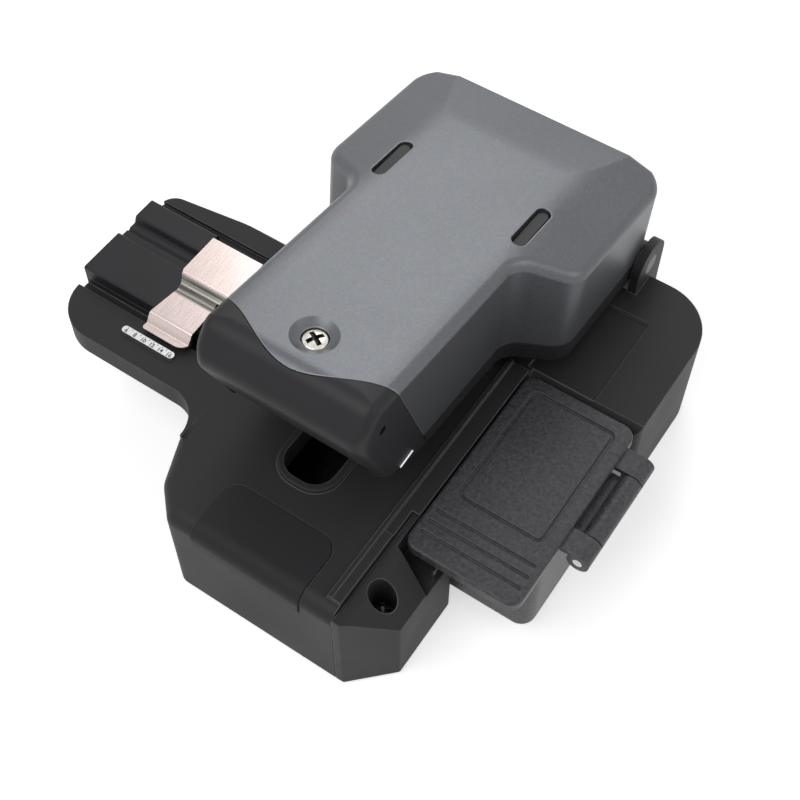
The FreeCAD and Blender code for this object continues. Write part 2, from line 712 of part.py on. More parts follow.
def screw_pilots():
    """Blind holes in the casting for the screws that enter from outside it."""
    drills = housing_drill(M25_SHANK)
    for x, y in cover_screw_places():
        start = V(x, y, COVER_TOP_Z - WELD)
        drills = drills.fuse(rod(start, Z_AXIS, M2_SHANK, COVER_SCREW_LENGTH + SEAT_GAP))
    for y in guide_screw_places():
        drills = drills.fuse(rod(V(0, y, COVER_TOP_Z + SEAT_GAP), Z_AXIS, M2_SHANK, CAVITY_FLOOR_Z))
    for place in ruler_pegs():
        drills = drills.fuse(rod(place - Z_AXIS * PEG_LENGTH, Z_AXIS, PEG_RADIUS, 2 * PEG_LENGTH))
    return drills


def make_chassis():
    """Main casting of the cleaver."""
    added = [chassis_arm(), arm_fillet(), deck_details(), bin_shelf(), tab_body(0)]
    body = chassis_block().fuse(added + hinge_ears())
    body = body.cut(chassis_openings())
    body = body.cut(screw_pilots())
    channel = box(-BEYOND, HOLDER_RIGHT_X, HOLDER_FRONT_Y - CHANNEL_WIDTH, HOLDER_FRONT_Y,
                  FRONT_DECK_Z - CHANNEL_DEPTH, BEYOND)
    notch = box(-BEYOND, HOLDER_RIGHT_X, HOLDER_REAR_Y, HOLDER_REAR_Y + REAR_NOTCH_WIDTH,
                FRONT_DECK_Z - CHANNEL_DEPTH / 2, BEYOND)
    body = body.cut(channel).cut(notch)
    return body.removeSplitter()


# ================================================= pieces fixed to the chassis

def housing_outline():
    """Plan of the right-hand housing, with its chamfered front corner."""
    left = HOUSING_SPLIT_X + SEAM_GAP
    return [
        (left, FRONT_Y, 0),
        (HOUSING_RIGHT_X - HOUSING_CHAMFER, FRONT_Y, HOUSING_CORNER_RADIUS),
        (HOUSING_RIGHT_X, FRONT_Y + HOUSING_CHAMFER, HOUSING_CORNER_RADIUS),
        (HOUSING_RIGHT_X, BAY_FRONT_Y, HOUSING_REAR_RADIUS),
        (left, BAY_FRONT_Y, 0),
    ]


def housing_drill(radius):
    """Screw hole down through the right-hand housing into the tab of the casting."""
    return rod(V(HOUSING_SCREW_X, HOUSING_SCREW_Y, COVER_TOP_Z + COVER_THICKNESS), Z_AXIS, radius, BEYOND)


def make_right_housing():
    """Separate housing in front of the waste bin; its top falls away to the right."""
    left = HOUSING_SPLIT_X
    section = [
        (left, BASE_Z, 0),
        (HOUSING_RIGHT_X + HOUSING_MARGIN, BASE_Z, 0),
        (HOUSING_RIGHT_X + HOUSING_MARGIN, HOUSING_SIDE_Z - HOUSING_FALL, 0),
        (HOUSING_BREAK_X, HOUSING_TOP_Z, HOUSING_BREAK_RADIUS),
        (left, HOUSING_TOP_Z, 0),
    ]
    body = plan(housing_outline(), BASE_Z, HOUSING_TOP_Z)
    body = body.common(front(section, FRONT_Y - WELD, BAY_FRONT_Y + WELD)).cut(tab_body(SEAT_GAP))
    corners = rectangle(LID_LEFT_X - LID_ROOM, BEYOND, LID_FRONT_Y - LID_ROOM, BEYOND, LID_CORNER_RADIUS)
    lid_room = plan(corners, LID_TOP_Z - LID_THICKNESS - LID_ROOM, BEYOND)
    body = body.cut(lid_room).cut(housing_recess())
    bore_floor = HOUSING_TOP_Z - HOUSING_BORE_DEPTH
    bore = rod(V(HOUSING_SCREW_X, HOUSING_SCREW_Y, bore_floor), Z_AXIS, HOUSING_BORE_RADIUS, BEYOND)
    body = body.cut(bore)
    body = body.cut(housing_drill(M25_SHANK + RUN_GAP))
    return body


def housing_recess():
    """Slanting recess beside the lid's front edge, open to the right, for the finger and the catch."""
    left = LID_LEFT_X - LID_ROOM
    front_y = LID_FRONT_Y - LID_ROOM
    right = HOUSING_RIGHT_X + WELD
    corners = [(left, front_y, 0), (right, front_y - RECESS_SLANT, 0), (right, BAY_FRONT_Y + WELD, 0),
               (left, BAY_FRONT_Y + WELD, 0)]
    return plan(corners, HOUSING_TOP_Z - RECESS_DEPTH, BEYOND)


def make_housing_screw():
    """Screw at the bottom of the counterbore in the right-hand housing."""
    seat = HOUSING_TOP_Z - HOUSING_BORE_DEPTH
    top = V(HOUSING_SCREW_X, HOUSING_SCREW_Y, seat + HEAD_HEIGHT)
    return cross_screw(top, M25_SHANK, M25_HEAD, HOUSING_SCREW_LENGTH)


def cover_screw_places():
    """Places of the cover screws, in the walls beside the carriage cavity."""
    wall = CAVITY_HALF_WIDTH + M2_HEAD + SEAT_GAP
    front_y = CAVITY_FRONT_Y + COVER_SCREW_INSET
    rear_y = REAR_Y - 2 * foot_inset()
    return [(-wall, front_y), (wall, front_y), (-wall, rear_y), (wall, rear_y)]


def foot_inset():
    """Distance of a foot's centre from the two nearest sides of the casting."""
    return COVER_INSET + FOOT_RADIUS + FOOT_MARGIN


def foot_places():
    """Name and centre of each foot, near the corners of the cover plate."""
    inset = foot_inset()
    return {
        "foot_front_left": (FRONT_LEFT_X + inset, FRONT_Y + inset),
        "foot_front_right": (HOUSING_SPLIT_X - inset, FRONT_Y + inset),
        "foot_rear_left": (BODY_LEFT_X + inset, REAR_Y - inset),
        "foot_rear_right": (REAR_BLOCK_RIGHT_X - inset, REAR_Y - inset),
    }


def make_base_cover():
    """Plate that closes the underside, seated in a recess of the casting."""
    plate = plan(inset_body(COVER_INSET), BASE_Z, COVER_TOP_Z)
    for x, y in foot_places().values():
        plate = plate.cut(rod(V(x, y, BASE_Z), Z_AXIS, FOOT_RADIUS + SEAT_GAP, FOOT_SEAT))
    for x, y in cover_screw_places():
        plate = plate.cut(rod(V(x, y, 0), Z_AXIS, M2_SHANK + RUN_GAP, BEYOND))
        sink = Part.makeCone(M2_HEAD + SEAT_GAP, M2_SHANK + RUN_GAP, M2_HEAD - M2_SHANK, V(x, y, BASE_Z))
        plate = plate.cut(sink)
    return plate


def make_cover_screws():
    """Countersunk screws that hold the cover plate."""
    screws = []
    for x, y in cover_screw_places():
        cone = Part.makeCone(M2_HEAD, M2_SHANK, M2_HEAD - M2_SHANK, V(x, y, BASE_Z))
        shank = rod(V(x, y, BASE_Z), Z_AXIS, M2_SHANK, COVER_THICKNESS + COVER_SCREW_LENGTH - WELD)
        half = CROSS_WIDTH / 2
        slot = box(x - M2_HEAD, x + M2_HEAD, y - half, y + half, BASE_Z, BASE_Z + CROSS_DEPTH / 2)
        screws.append(cone.fuse(shank).cut(slot).removeSplitter())
    return Part.makeCompound(screws)


def make_foot(x, y):
    """Round rubber foot with a softened rim, glued into the cover plate."""
    foot = rod(V(x, y, 0), Z_AXIS, FOOT_RADIUS, FOOT_HEIGHT + FOOT_SEAT)
    return round_edges(foot, FOOT_HEIGHT / 3, lambda edge: at_height(edge, 0))


def pad_body(depth, gap):
    """Body that wraps over the front top edge, sunk by a depth below the casting."""
    proud = PAD_PROUD
    inner = FRONT_EDGE_RADIUS - depth
    outer = FRONT_EDGE_RADIUS + proud
    section = [
        (FRONT_Y - proud, PAD_BOTTOM_Z - gap, 0),
        (FRONT_Y + depth, PAD_BOTTOM_Z - gap, 0),
        (FRONT_Y + depth, FRONT_DECK_Z - depth, inner),
        (PAD_REAR_Y + gap, FRONT_DECK_Z - depth, 0),
        (PAD_REAR_Y + gap, FRONT_DECK_Z + proud, 0),
        (FRONT_Y - proud, FRONT_DECK_Z + proud, outer),
    ]
    body = side(section, PAD_LEFT_X - gap, PAD_RIGHT_X + gap)
    shape = plan([(PAD_LEFT_X - gap, FRONT_Y - WELD, 0), (PAD_RIGHT_X + gap, FRONT_Y - WELD, 0),
                  (PAD_RIGHT_X + gap, PAD_REAR_Y + gap, PAD_CORNER_RADIUS),
                  (PAD_LEFT_X - gap, PAD_REAR_Y + gap, PAD_CORNER_RADIUS)], 0, BEYOND)
    return body.common(shape)


def make_grip_pad():
    """Soft pad under the thumb, wrapped over the front edge."""
    return pad_body(PAD_THICKNESS - PAD_PROUD, 0)


def make_fibre_holder():
    """Grooved block on the arm that lines the fibre up with the blade."""
    base = HOLDER_BASE_Z
    half_groove = FIBRE_GROOVE_WIDTH / 2
    section = [
        (HOLDER_FRONT_Y, base, 0),
        (HOLDER_REAR_Y, base, 0),
        (HOLDER_REAR_Y, HOLDER_TOP_Z, HOLDER_EDGE_RADIUS),
        (HOLDER_BACK_FRONT_Y, HOLDER_TOP_Z, HOLDER_EDGE_RADIUS),
        (HOLDER_BACK_FRONT_Y - HOLDER_BEVEL, FIBRE_Z, 0),
        (FIBRE_Y + half_groove, FIBRE_Z, 0),
        (FIBRE_Y, FIBRE_Z - half_groove, 0),
        (FIBRE_Y - half_groove, FIBRE_Z, 0),
        (HOLDER_MAIN_REAR_Y + HOLDER_BEVEL, FIBRE_Z, 0),
        (HOLDER_MAIN_REAR_Y, HOLDER_TOP_Z, HOLDER_EDGE_RADIUS),
        (HOLDER_FRONT_Y, HOLDER_TOP_Z, HOLDER_EDGE_RADIUS),
    ]
    block = side(section, ARM_LEFT_X, HOLDER_RIGHT_X)
    room = CLIP_BARREL_RADIUS + CLIP_POCKET_GAP
    pocket = box(CLIP_LEFT_X - SLIDE_GAP, CLIP_RIGHT_X + SLIDE_GAP, CLIP_AXIS_Y - room, BEYOND,
                 CLIP_AXIS_Z - room, BEYOND)
    return block.cut(pocket).cut(make_clip_pin()).removeSplitter()


def make_clip_pin():
    """Steel pin the leaf clip turns on, pressed into both sides of the holder's pocket."""
    reach = SLIDE_GAP + CLIP_PIN_GRIP
    start = V(CLIP_LEFT_X - reach, CLIP_AXIS_Y, CLIP_AXIS_Z)
    return rod(start, X_AXIS, CLIP_PIN_RADIUS, CLIP_WIDTH + 2 * reach)


def ruler_pegs():
    """Centres of the two pegs under the ruler."""
    ends = (RULER_LEFT_X + RULER_PEG_INSET, RULER_LEFT_X + RULER_LENGTH - RULER_PEG_INSET)
    return [V(x, RULER_Y, FRONT_DECK_Z) for x in ends]


def make_ruler():
    """Small steel scale for the cleave length, pegged to the arm."""
    half = RULER_WIDTH / 2
    corners = rectangle(RULER_LEFT_X, RULER_LEFT_X + RULER_LENGTH, RULER_Y - half, RULER_Y + half,
                        half * ROUND_END)
    plate = plan(corners, FRONT_DECK_Z, FRONT_DECK_Z + RULER_THICKNESS)
    for place in ruler_pegs():
        plate = plate.fuse(rod(place - Z_AXIS * PEG_LENGTH, Z_AXIS, PEG_RADIUS - RUN_GAP, PEG_LENGTH))
    return plate.removeSplitter()


def make_clamp_block(x):
    """Lower clamp block let into the deck beside the blade window."""
    top = FRONT_DECK_Z + CLAMP_BLOCK_PROUD
    y0 = FIBRE_Y - CLAMP_HALF_LENGTH
    y1 = FIBRE_Y + CLAMP_HALF_LENGTH
    return box(x - CLAMP_HALF_WIDTH, x + CLAMP_HALF_WIDTH, y0, y1, top - CLAMP_BLOCK_HEIGHT, top)


def make_lower_pad(x):
    """Rubber pad on a lower clamp block."""
    half_x = CLAMP_HALF_WIDTH - CLAMP_PAD_INSET
    half_y = CLAMP_HALF_LENGTH - CLAMP_PAD_INSET
    base = FRONT_DECK_Z + CLAMP_BLOCK_PROUD
    pad = box(x - half_x, x + half_x, FIBRE_Y - half_y, FIBRE_Y + half_y, base, LOWER_PAD_TOP_Z)
    return round_edges(pad, CLAMP_PAD_EDGE, lambda edge: at_height(edge, LOWER_PAD_TOP_Z))


def make_rest_pads():
    """Rubber buttons on the deck that the closed lever comes down on."""
    top = lever_foot_at(REST_PAD_Y) - SEAT_GAP
    pads = []
    for x in (-REST_PAD_X, REST_PAD_X):
        pad = rod(V(x, REST_PAD_Y, FRONT_DECK_Z), Z_AXIS, REST_PAD_RADIUS, top - FRONT_DECK_Z)
        pads.append(pad)
    return Part.makeCompound(pads)


def lever_foot_at(y):
    """Height of the closed lever's underside at a distance along it."""
    share = (y - LEVER_TOE_Y) / (LEVER_REAR_Y - LEVER_TOE_Y)
    return LEVER_FOOT_Z + (LEVER_HEEL_Z - LEVER_FOOT_Z) * share


# ===================================================== blade carriage and guide

def guide_middle():
    """Middle of the guide rail along Y."""
    return (CAVITY_FRONT_Y + CAVITY_REAR_Y) / 2


def guide_screw_places():
    """Positions of the rail screws along Y."""
    return [guide_middle() + GUIDE_SCREW_PITCH * step for step in (-1, 0, 1)]


def guide_section(gap):
    """Waisted cross-section of the guide rail."""
    wide = GUIDE_WIDTH / 2 + gap
    waist = GUIDE_WIDTH / 2 * GUIDE_WAIST + gap
    low = CAVITY_FLOOR_Z
    lip = GUIDE_HEIGHT * GUIDE_LIP
    return mirrored([
        (wide, low, 0), (wide, low + lip, 0), (waist, low + GUIDE_HEIGHT / 2, 0),
        (wide, GUIDE_TOP_Z - lip, 0), (wide, GUIDE_TOP_Z + gap, 0),
    ])


def make_guide_rail():
    """Linear guide rail with counterbored screw holes."""
    y = guide_middle()
    rail = front(guide_section(0), y - GUIDE_LENGTH / 2, y + GUIDE_LENGTH / 2)
    sink_z = GUIDE_TOP_Z - HEAD_HEIGHT - SEAT_GAP
    for place in guide_screw_places():
        rail = rail.cut(rod(V(0, place, 0), Z_AXIS, M2_SHANK + RUN_GAP, BEYOND))
        rail = rail.cut(rod(V(0, place, sink_z), Z_AXIS, M2_HEAD + SEAT_GAP, BEYOND))
    return rail


def make_guide_screws():
    """Screws that hold the guide rail down."""
    length = SEAT_GAP + GUIDE_HEIGHT
    tops = [V(0, y, GUIDE_TOP_Z - SEAT_GAP) for y in guide_screw_places()]
    screws = [cross_screw(top, M2_SHANK, M2_HEAD, length) for top in tops]
    return Part.makeCompound(screws)


def make_carriage():
    """Slider that runs on the guide rail, with the lug for its spring."""
    half = CARRIAGE_WIDTH / 2
    front_y = CARRIAGE_Y - CARRIAGE_LENGTH / 2
    block = box(-half, half, front_y, front_y + CARRIAGE_LENGTH, CARRIAGE_BOTTOM_Z, CARRIAGE_TOP_Z)
    block = block.fuse(box(half - WELD, CAVITY_HALF_WIDTH - 2 * SLIDE_GAP, front_y, front_y + CARRIAGE_LUG,
                           CARRIAGE_BOTTOM_Z, CARRIAGE_TOP_Z - CARRIAGE_LUG_DROP))
    block = block.cut(front(guide_section(SLIDE_GAP), -BEYOND, BEYOND))
    for x, y in carriage_screw_places():
        block = block.cut(rod(V(x, y, CARRIAGE_TOP_Z - 2 * CARRIAGE_SCREW_GRIP), Z_AXIS, M2_SHANK, BEYOND))
    return block.removeSplitter()


def carriage_screw_places():
    """Places of the two screws between the bracket and the slider."""
    return [(CARRIAGE_SCREW_X, CARRIAGE_Y + sign * CARRIAGE_SCREW_Y) for sign in (-1, 1)]


def make_blade_holder():
    """Bracket on the carriage whose cheek carries the blade."""
    half = HOLDER_FOOT_HALF
    reach = CARRIAGE_LENGTH / 2 - HOLDER_FOOT_INSET
    foot = box(-half, half + HOLDER_FOOT_LEDGE, CARRIAGE_Y - reach, CARRIAGE_Y + reach,
               CARRIAGE_TOP_Z, CARRIAGE_TOP_Z + HOLDER_FOOT_HEIGHT)
    inner = BLADE_THICKNESS / 2 + SEAT_GAP
    outer = inner + CHEEK_THICKNESS
    low = CARRIAGE_TOP_Z
    top = BLADE_Z + BLADE_BORE * 2
    upper = CHEEK_HALF_LENGTH * CHEEK_TAPER
    corners = [(CARRIAGE_Y - CHEEK_HALF_LENGTH, low, 0), (CARRIAGE_Y + CHEEK_HALF_LENGTH, low, 0),
               (CARRIAGE_Y + upper, top, CHEEK_RADIUS), (CARRIAGE_Y - upper, top, CHEEK_RADIUS)]
    cheek = side(corners, inner, outer)
    body = foot.fuse(cheek).cut(rod(V(0, CARRIAGE_Y, BLADE_Z), X_AXIS, AXLE_RADIUS, BEYOND))
    for x, y in carriage_screw_places():
        body = body.cut(rod(V(x, y, low - WELD), Z_AXIS, M2_SHANK + RUN_GAP, BEYOND))
    return body.removeSplitter()


def make_carriage_screws():
    """Screws that hold the blade bracket on the carriage."""
    top = CARRIAGE_TOP_Z + HOLDER_FOOT_HEIGHT + HEAD_HEIGHT
    length = HEAD_HEIGHT + HOLDER_FOOT_HEIGHT + CARRIAGE_SCREW_GRIP
    screws = [cross_screw(V(x, y, top), M2_SHANK, SMALL_HEAD, length) for x, y in carriage_screw_places()]
    return Part.makeCompound(screws)


def make_blade():
    """Carbide disc with a keen rim, turned by hand to a fresh edge."""
    half = BLADE_THICKNESS / 2
    section = [
        (-half, BLADE_BORE), (half, BLADE_BORE), (half, BLADE_RADIUS - BLADE_BEVEL),
        (0, BLADE_RADIUS), (-half, BLADE_RADIUS - BLADE_BEVEL),
    ]
    points = [V(x, CARRIAGE_Y, BLADE_Z + r) for x, r in section]
    face = Part.Face(Part.makePolygon(points + points[:1]))
    return face.revolve(V(0, CARRIAGE_Y, BLADE_Z), X_AXIS, 360)


def make_blade_axle():
    """Shouldered screw through the blade into the bracket cheek."""
    start = -BLADE_THICKNESS / 2 - SEAT_GAP
    end = BLADE_THICKNESS / 2 + SEAT_GAP + CHEEK_THICKNESS
    origin = V(start, CARRIAGE_Y, BLADE_Z)
    axle = rod(origin, X_AXIS, BLADE_BORE - RUN_GAP, BLADE_THICKNESS + SEAT_GAP + SEAT_GAP)
    axle = axle.fuse(rod(origin, X_AXIS, AXLE_RADIUS, end - start))
    head = rod(origin - X_AXIS * HEAD_HEIGHT, X_AXIS, BLADE_BORE + AXLE_HEAD, HEAD_HEIGHT)
    end_x = start - HEAD_HEIGHT
    half = CROSS_WIDTH / 2
    slot = box(end_x, end_x + CROSS_DEPTH, -BEYOND, BEYOND, BLADE_Z - half, BLADE_Z + half)
    return axle.fuse(head.cut(slot)).removeSplitter()


def carriage_spring_axis():
    """Axis of the return spring, beside the carriage."""
    return CARRIAGE_WIDTH / 2 + (CAVITY_HALF_WIDTH - CARRIAGE_WIDTH / 2) / 2


def carriage_spring_z():
    """Height of the return spring."""
    return (CARRIAGE_BOTTOM_Z + CARRIAGE_TOP_Z - CARRIAGE_LUG_DROP) / 2


def make_spring_post():
    """Peg on the cavity floor that anchors the return spring."""
    base = V(carriage_spring_axis(), CAVITY_FRONT_Y + POST_RADIUS + POST_INSET, CAVITY_FLOOR_Z)
    return rod(base, Z_AXIS, POST_RADIUS, carriage_spring_z() + CARRIAGE_SPRING_RADIUS - CAVITY_FLOOR_Z)


def make_carriage_spring():
    """Extension spring that draws the carriage forward."""
    start = CAVITY_FRONT_Y + 2 * POST_RADIUS + POST_INSET + CARRIAGE_SPRING_WIRE
    end = CARRIAGE_Y - CARRIAGE_LENGTH / 2 - CARRIAGE_SPRING_WIRE
    return coil(V(carriage_spring_axis(), start, carriage_spring_z()), Y_AXIS, CARRIAGE_SPRING_RADIUS,
                CARRIAGE_SPRING_WIRE, end - start, CARRIAGE_SPRING_COILS)


# =============================================================== lever, closed

def lever_plan(inset):
    """Plan of the lever: narrow nose, shoulders, wide hinge end with a bowed rear edge."""
    narrow = LEVER_NARROW - inset
    wide = LEVER_WIDE - inset
    half = [
        (narrow, LEVER_NOSE_Y + inset, LEVER_FRONT_RADIUS - inset),
        (narrow, LEVER_SHOULDER_FRONT_Y + inset, LEVER_SHOULDER_RADIUS + inset),
        (wide, LEVER_SHOULDER_REAR_Y + inset, LEVER_SHOULDER_RADIUS - inset),
        (wide, LEVER_REAR_Y - LEVER_BOW_DROP - inset, LEVER_REAR_RADIUS - inset),
    ]
    apex = [(0, LEVER_REAR_Y + LEVER_BOW_RISE - inset, LEVER_REAR_BOW - inset)]
    return half + apex + [(-u, v, r) for u, v, r in reversed(half)]


def lever_top_at(y):
    """Height of the top surface along the centre line."""
    return LEVER_TOP_FRONT_Z - LEVER_TOP_SLOPE * (y - LEVER_TOP_FRONT_Y)


def lever_side(inset, drop):
    """Side outline of the lever; a drop lowers the underside for cutting bodies."""
    rear = LEVER_REAR_Y + LEVER_REAR_MARGIN - inset
    return [
        (LEVER_NOSE_FOOT_Y + inset, LEVER_FOOT_Z + LEVER_TOE_LIFT - drop, 0),
        (LEVER_TOE_Y, LEVER_FOOT_Z - drop, LEVER_TOE_RADIUS),
        (rear, LEVER_HEEL_Z - drop, 0),
        (rear, lever_top_at(LEVER_REAR_Y) - LEVER_REAR_DROP - inset, 0),
        (LEVER_REAR_BREAK_Y, lever_top_at(LEVER_REAR_BREAK_Y) - inset, LEVER_BREAK_RADIUS),
        (LEVER_TOP_FRONT_Y + inset / 2, LEVER_TOP_FRONT_Z - inset, LEVER_BROW_RADIUS - inset),
        (LEVER_NOSE_Y + inset, LEVER_NOSE_Z, LEVER_BROW_RADIUS),
    ]


def lever_crown(inset):
    """Cross-section of the lever whose top falls away towards both sides."""
    top = LEVER_TOP_FRONT_Z - inset
    edge = LEVER_WIDE + WELD
    low = top - LEVER_CROWN_SLOPE * (edge - LEVER_CROWN_FLAT)
    return mirrored([(edge, 0, 0), (edge, low, 0), (LEVER_CROWN_FLAT, top, LEVER_CROWN_RADIUS)])


def lever_blank(inset, drop):
    """Solid lever shape, drawn in by an inset all round."""
    body = plan(lever_plan(inset), 0, BEYOND).common(side(lever_side(inset, drop), -BEYOND, BEYOND))
    lean = V(0, 2 * BEYOND, -2 * BEYOND * LEVER_TOP_SLOPE)
    start_y = LEVER_TOP_FRONT_Y - BEYOND
    lift = LEVER_TOP_SLOPE * BEYOND
    face = outline_face(lever_crown(inset), lambda u, v: V(u, start_y, v + lift))
    return body.common(face.extrude(lean))


def lever_shell():
    """Hollow lever shell, open below, with rounded upper edges."""
    blank = lever_blank(0, 0)
    blank = round_edges(blank, LEVER_EDGE_RADIUS, lambda edge: lever_rim(blank, edge))
    return blank.cut(lever_blank(LEVER_WALL, LEVER_WALL * 4))


def slope_at(face, point):
    """Upward part of a face's outward normal at a point."""
    u, v = face.Surface.parameter(point)
    return face.normalAt(u, v).z


def lever_rim(body, edge):
    """True for an edge where an upright wall of the lever meets its top."""
    middle = edge.valueAt((edge.FirstParameter + edge.LastParameter) / 2)
    slopes = sorted(slope_at(face, middle) for face in body.ancestorsOfType(edge, Part.Face))
    return middle.z > LEVER_NOSE_Z and abs(slopes[0]) < UPRIGHT_SLOPE and slopes[-1] > TOP_SLOPE


def seam_body(shift):
    """Everything behind the wavy joint between the nose and the cover."""
    outer = LEVER_NARROW + SEAM_MARGIN
    turn = LEVER_NARROW - SEAM_SIDE_INSET
    middle = LEVER_NARROW / 2
    top = LEVER_TOP_FRONT_Z
    heads = [(-outer, SEAM_EDGE_Y), (-turn, SEAM_SIDE_Y), (-middle, SEAM_FLANK_Y), (0, SEAM_TIP_Y),
             (middle, SEAM_FLANK_Y), (turn, SEAM_SIDE_Y), (outer, SEAM_EDGE_Y)]
    high = 2 * LEVER_EDGE_RADIUS
    points = [V(x, y + shift - SEAM_LEAN * high, top + high) for x, y in heads]
    curve = Part.BSplineCurve()
    curve.interpolate(points)
    first, last = points[0], points[-1]
    back = V(0, BEYOND, 0)
    wide = V(LEVER_WIDE, 0, 0)
    corners = [last, last + wide, last + wide + back, first - wide + back, first - wide, first]
    frame = Part.makePolygon(corners)
    face = Part.Face(Part.Wire([curve.toShape()] + frame.Edges))
    return face.extrude(V(0, SEAM_LEAN * BEYOND, -BEYOND))


def hinge_room():
    """Space round the hinge barrel between the lever's lugs."""
    reach = LEVER_WIDE - LUG_WIDTH
    return rod(V(-reach, HINGE_Y, HINGE_Z), X_AXIS, HINGE_POCKET_RADIUS, 2 * reach)


def slot_places():
    """Centres of the two oblong slots in the cover."""
    return (-SLOT_SPACING / 2, SLOT_SPACING / 2)


def slot_plan(x, gap):
    """Outline of an oblong slot."""
    half_x = SLOT_WIDTH / 2 - gap
    half_y = SLOT_LENGTH / 2 - gap
    return rectangle(x - half_x, x + half_x, SLOT_Y - half_y, SLOT_Y + half_y, half_x * ROUND_END)


def slot_floor_z():
    """Level of the seat under the slot inserts."""
    return lever_top_at(SLOT_Y + SLOT_LENGTH / 2) - SLOT_DEPTH - SLOT_INSERT - SLOT_FALL


def make_lever_cover():
    """Grey cover of the lever."""
    shell = lever_shell().common(seam_body(SEAM_GAP / 2))
    cover = shell.cut(box(-BEYOND, BEYOND, -BEYOND, BEYOND, 0, FRAME_TOP_Z + SEAM_GAP))
    top = lever_top_at(COVER_SCREW_Y)
    boss = rod(V(0, COVER_SCREW_Y, WEB_TOP_Z), Z_AXIS, COVER_BOSS_RADIUS, top - COVER_DISH_DEPTH - WEB_TOP_Z)
    cover = cover.fuse(boss)
    dish_reach = (COVER_DISH_RADIUS ** 2 + COVER_DISH_DEPTH ** 2) / (2 * COVER_DISH_DEPTH)
    cover = cover.cut(Part.makeSphere(dish_reach, V(0, COVER_SCREW_Y, top - COVER_DISH_DEPTH + dish_reach)))
    cover = cover.cut(rod(V(0, COVER_SCREW_Y, 0), Z_AXIS, M25_SHANK + RUN_GAP, BEYOND))
    seat = top - COVER_DISH_DEPTH - HEAD_HEIGHT / 2
    cover = cover.cut(rod(V(0, COVER_SCREW_Y, seat), Z_AXIS, M25_HEAD + SEAT_GAP, BEYOND))
    for x in slot_places():
        cover = cover.cut(plan(slot_plan(x, 0), slot_floor_z(), BEYOND))
    cover = cover.cut(hinge_room())
    for start in (-LEVER_WIDE, LEVER_WIDE - LUG_WIDTH):
        cover = cover.cut(rod(V(start, HINGE_Y, HINGE_Z), X_AXIS, LUG_RADIUS + SEAM_GAP, LUG_WIDTH))
    for x in (-1, 1):
        cover = cover.cut(grip_notch(x * NOTCH_X))
    return cover.removeSplitter()


def grip_notch(x):
    """Shallow notch in the rear top edge."""
    floor = lever_top_at(LEVER_REAR_Y) - LEVER_REAR_DROP - NOTCH_HEIGHT
    return box(x - NOTCH_HALF, x + NOTCH_HALF, LEVER_REAR_Y - NOTCH_DEPTH, BEYOND, floor, BEYOND)


def make_lever_nose():
    """Black nose of the lever that the finger lifts."""
    rest = lever_shell().cut(seam_body(-SEAM_GAP / 2))
    nose = max(rest.Solids, key=lambda solid: solid.Volume)
    nose = nose.cut(rod(V(-BEYOND, NOSE_PIN_Y, NOSE_PIN_Z), X_AXIS, NOSE_PIN_RADIUS, 2 * BEYOND))
    return nose.cut(flange_body(SEAT_GAP)).removeSplitter()


def make_nose_pin():
    """Steel cross pin that fixes the nose to the lever arm."""
    half = LEVER_NARROW - NOSE_PIN_INSET
    return rod(V(-half, NOSE_PIN_Y, NOSE_PIN_Z), X_AXIS, NOSE_PIN_RADIUS, 2 * half)


def make_lever_frame():
    """Black lower frame of the lever, with two cross bars and hinge lugs."""
    band = lever_shell().common(seam_body(SEAM_GAP / 2))
    band = band.common(box(-BEYOND, BEYOND, -BEYOND, BEYOND, 0, FRAME_TOP_Z))
    reach = LEVER_WIDE - LEVER_WALL + WELD
    low = FRAME_TOP_Z - WELD
    for y in BAR_PLACES:
        bar = box(-reach, reach, y, y + BAR_LENGTH, BAR_BOTTOM_Z, FRAME_TOP_Z)
        middle = y + BAR_LENGTH / 2
        post = rod(V(0, middle, low), Z_AXIS, BAR_POST_RADIUS, WEB_BOTTOM_Z - low)
        post = post.cut(rod(V(0, middle, WEB_BOTTOM_Z - FRAME_SCREW_LENGTH), Z_AXIS, M2_SHANK, BEYOND))
        band = band.fuse(bar).fuse(post)
    for sign in (-1, 1):
        start = LEVER_WIDE - LUG_WIDTH if sign > 0 else -LEVER_WIDE
        band = band.fuse(rod(V(start, HINGE_Y, HINGE_Z), X_AXIS, LUG_RADIUS, LUG_WIDTH))
    band = band.cut(hinge_room())
    band = band.cut(rod(V(-BEYOND, HINGE_Y, HINGE_Z), X_AXIS, SHAFT_RADIUS + RUN_GAP, 2 * BEYOND))
    return band.removeSplitter()


def flange_outline():
    """Side outline of the steel arm's flanges, from nose ears to hinge."""
    toe_rear = FLANGE_TOE_Y + FLANGE_TOE_LENGTH
    ear_front = NOSE_PIN_Y - NOSE_EAR
    ear_rear = NOSE_PIN_Y + NOSE_EAR
    return [
        (FLANGE_TOE_Y, FLANGE_TOE_Z, FLANGE_RADIUS),
        (toe_rear, FLANGE_TOE_Z, FLANGE_RADIUS),
        (toe_rear + FLANGE_RAMP, FLANGE_BOTTOM_Z, FLANGE_RADIUS),
        (WEB_REAR_Y + FLANGE_HEEL, FLANGE_BOTTOM_Z, FLANGE_RADIUS),
        (HINGE_Y, HINGE_Z - EYE_RADIUS, 0),
        (HINGE_Y, HINGE_Z + EYE_RADIUS, 0),
        (WEB_REAR_Y, WEB_TOP_Z, FLANGE_RADIUS),
        (ear_rear + NOSE_EAR, WEB_TOP_Z, NOSE_EAR_RADIUS),
        (ear_rear, NOSE_PIN_Z + NOSE_EAR, NOSE_EAR_RADIUS),
        (ear_front, NOSE_PIN_Z + NOSE_EAR, NOSE_EAR_RADIUS),
        (ear_front, NOSE_PIN_Z - NOSE_EAR, NOSE_EAR_RADIUS),
    ]


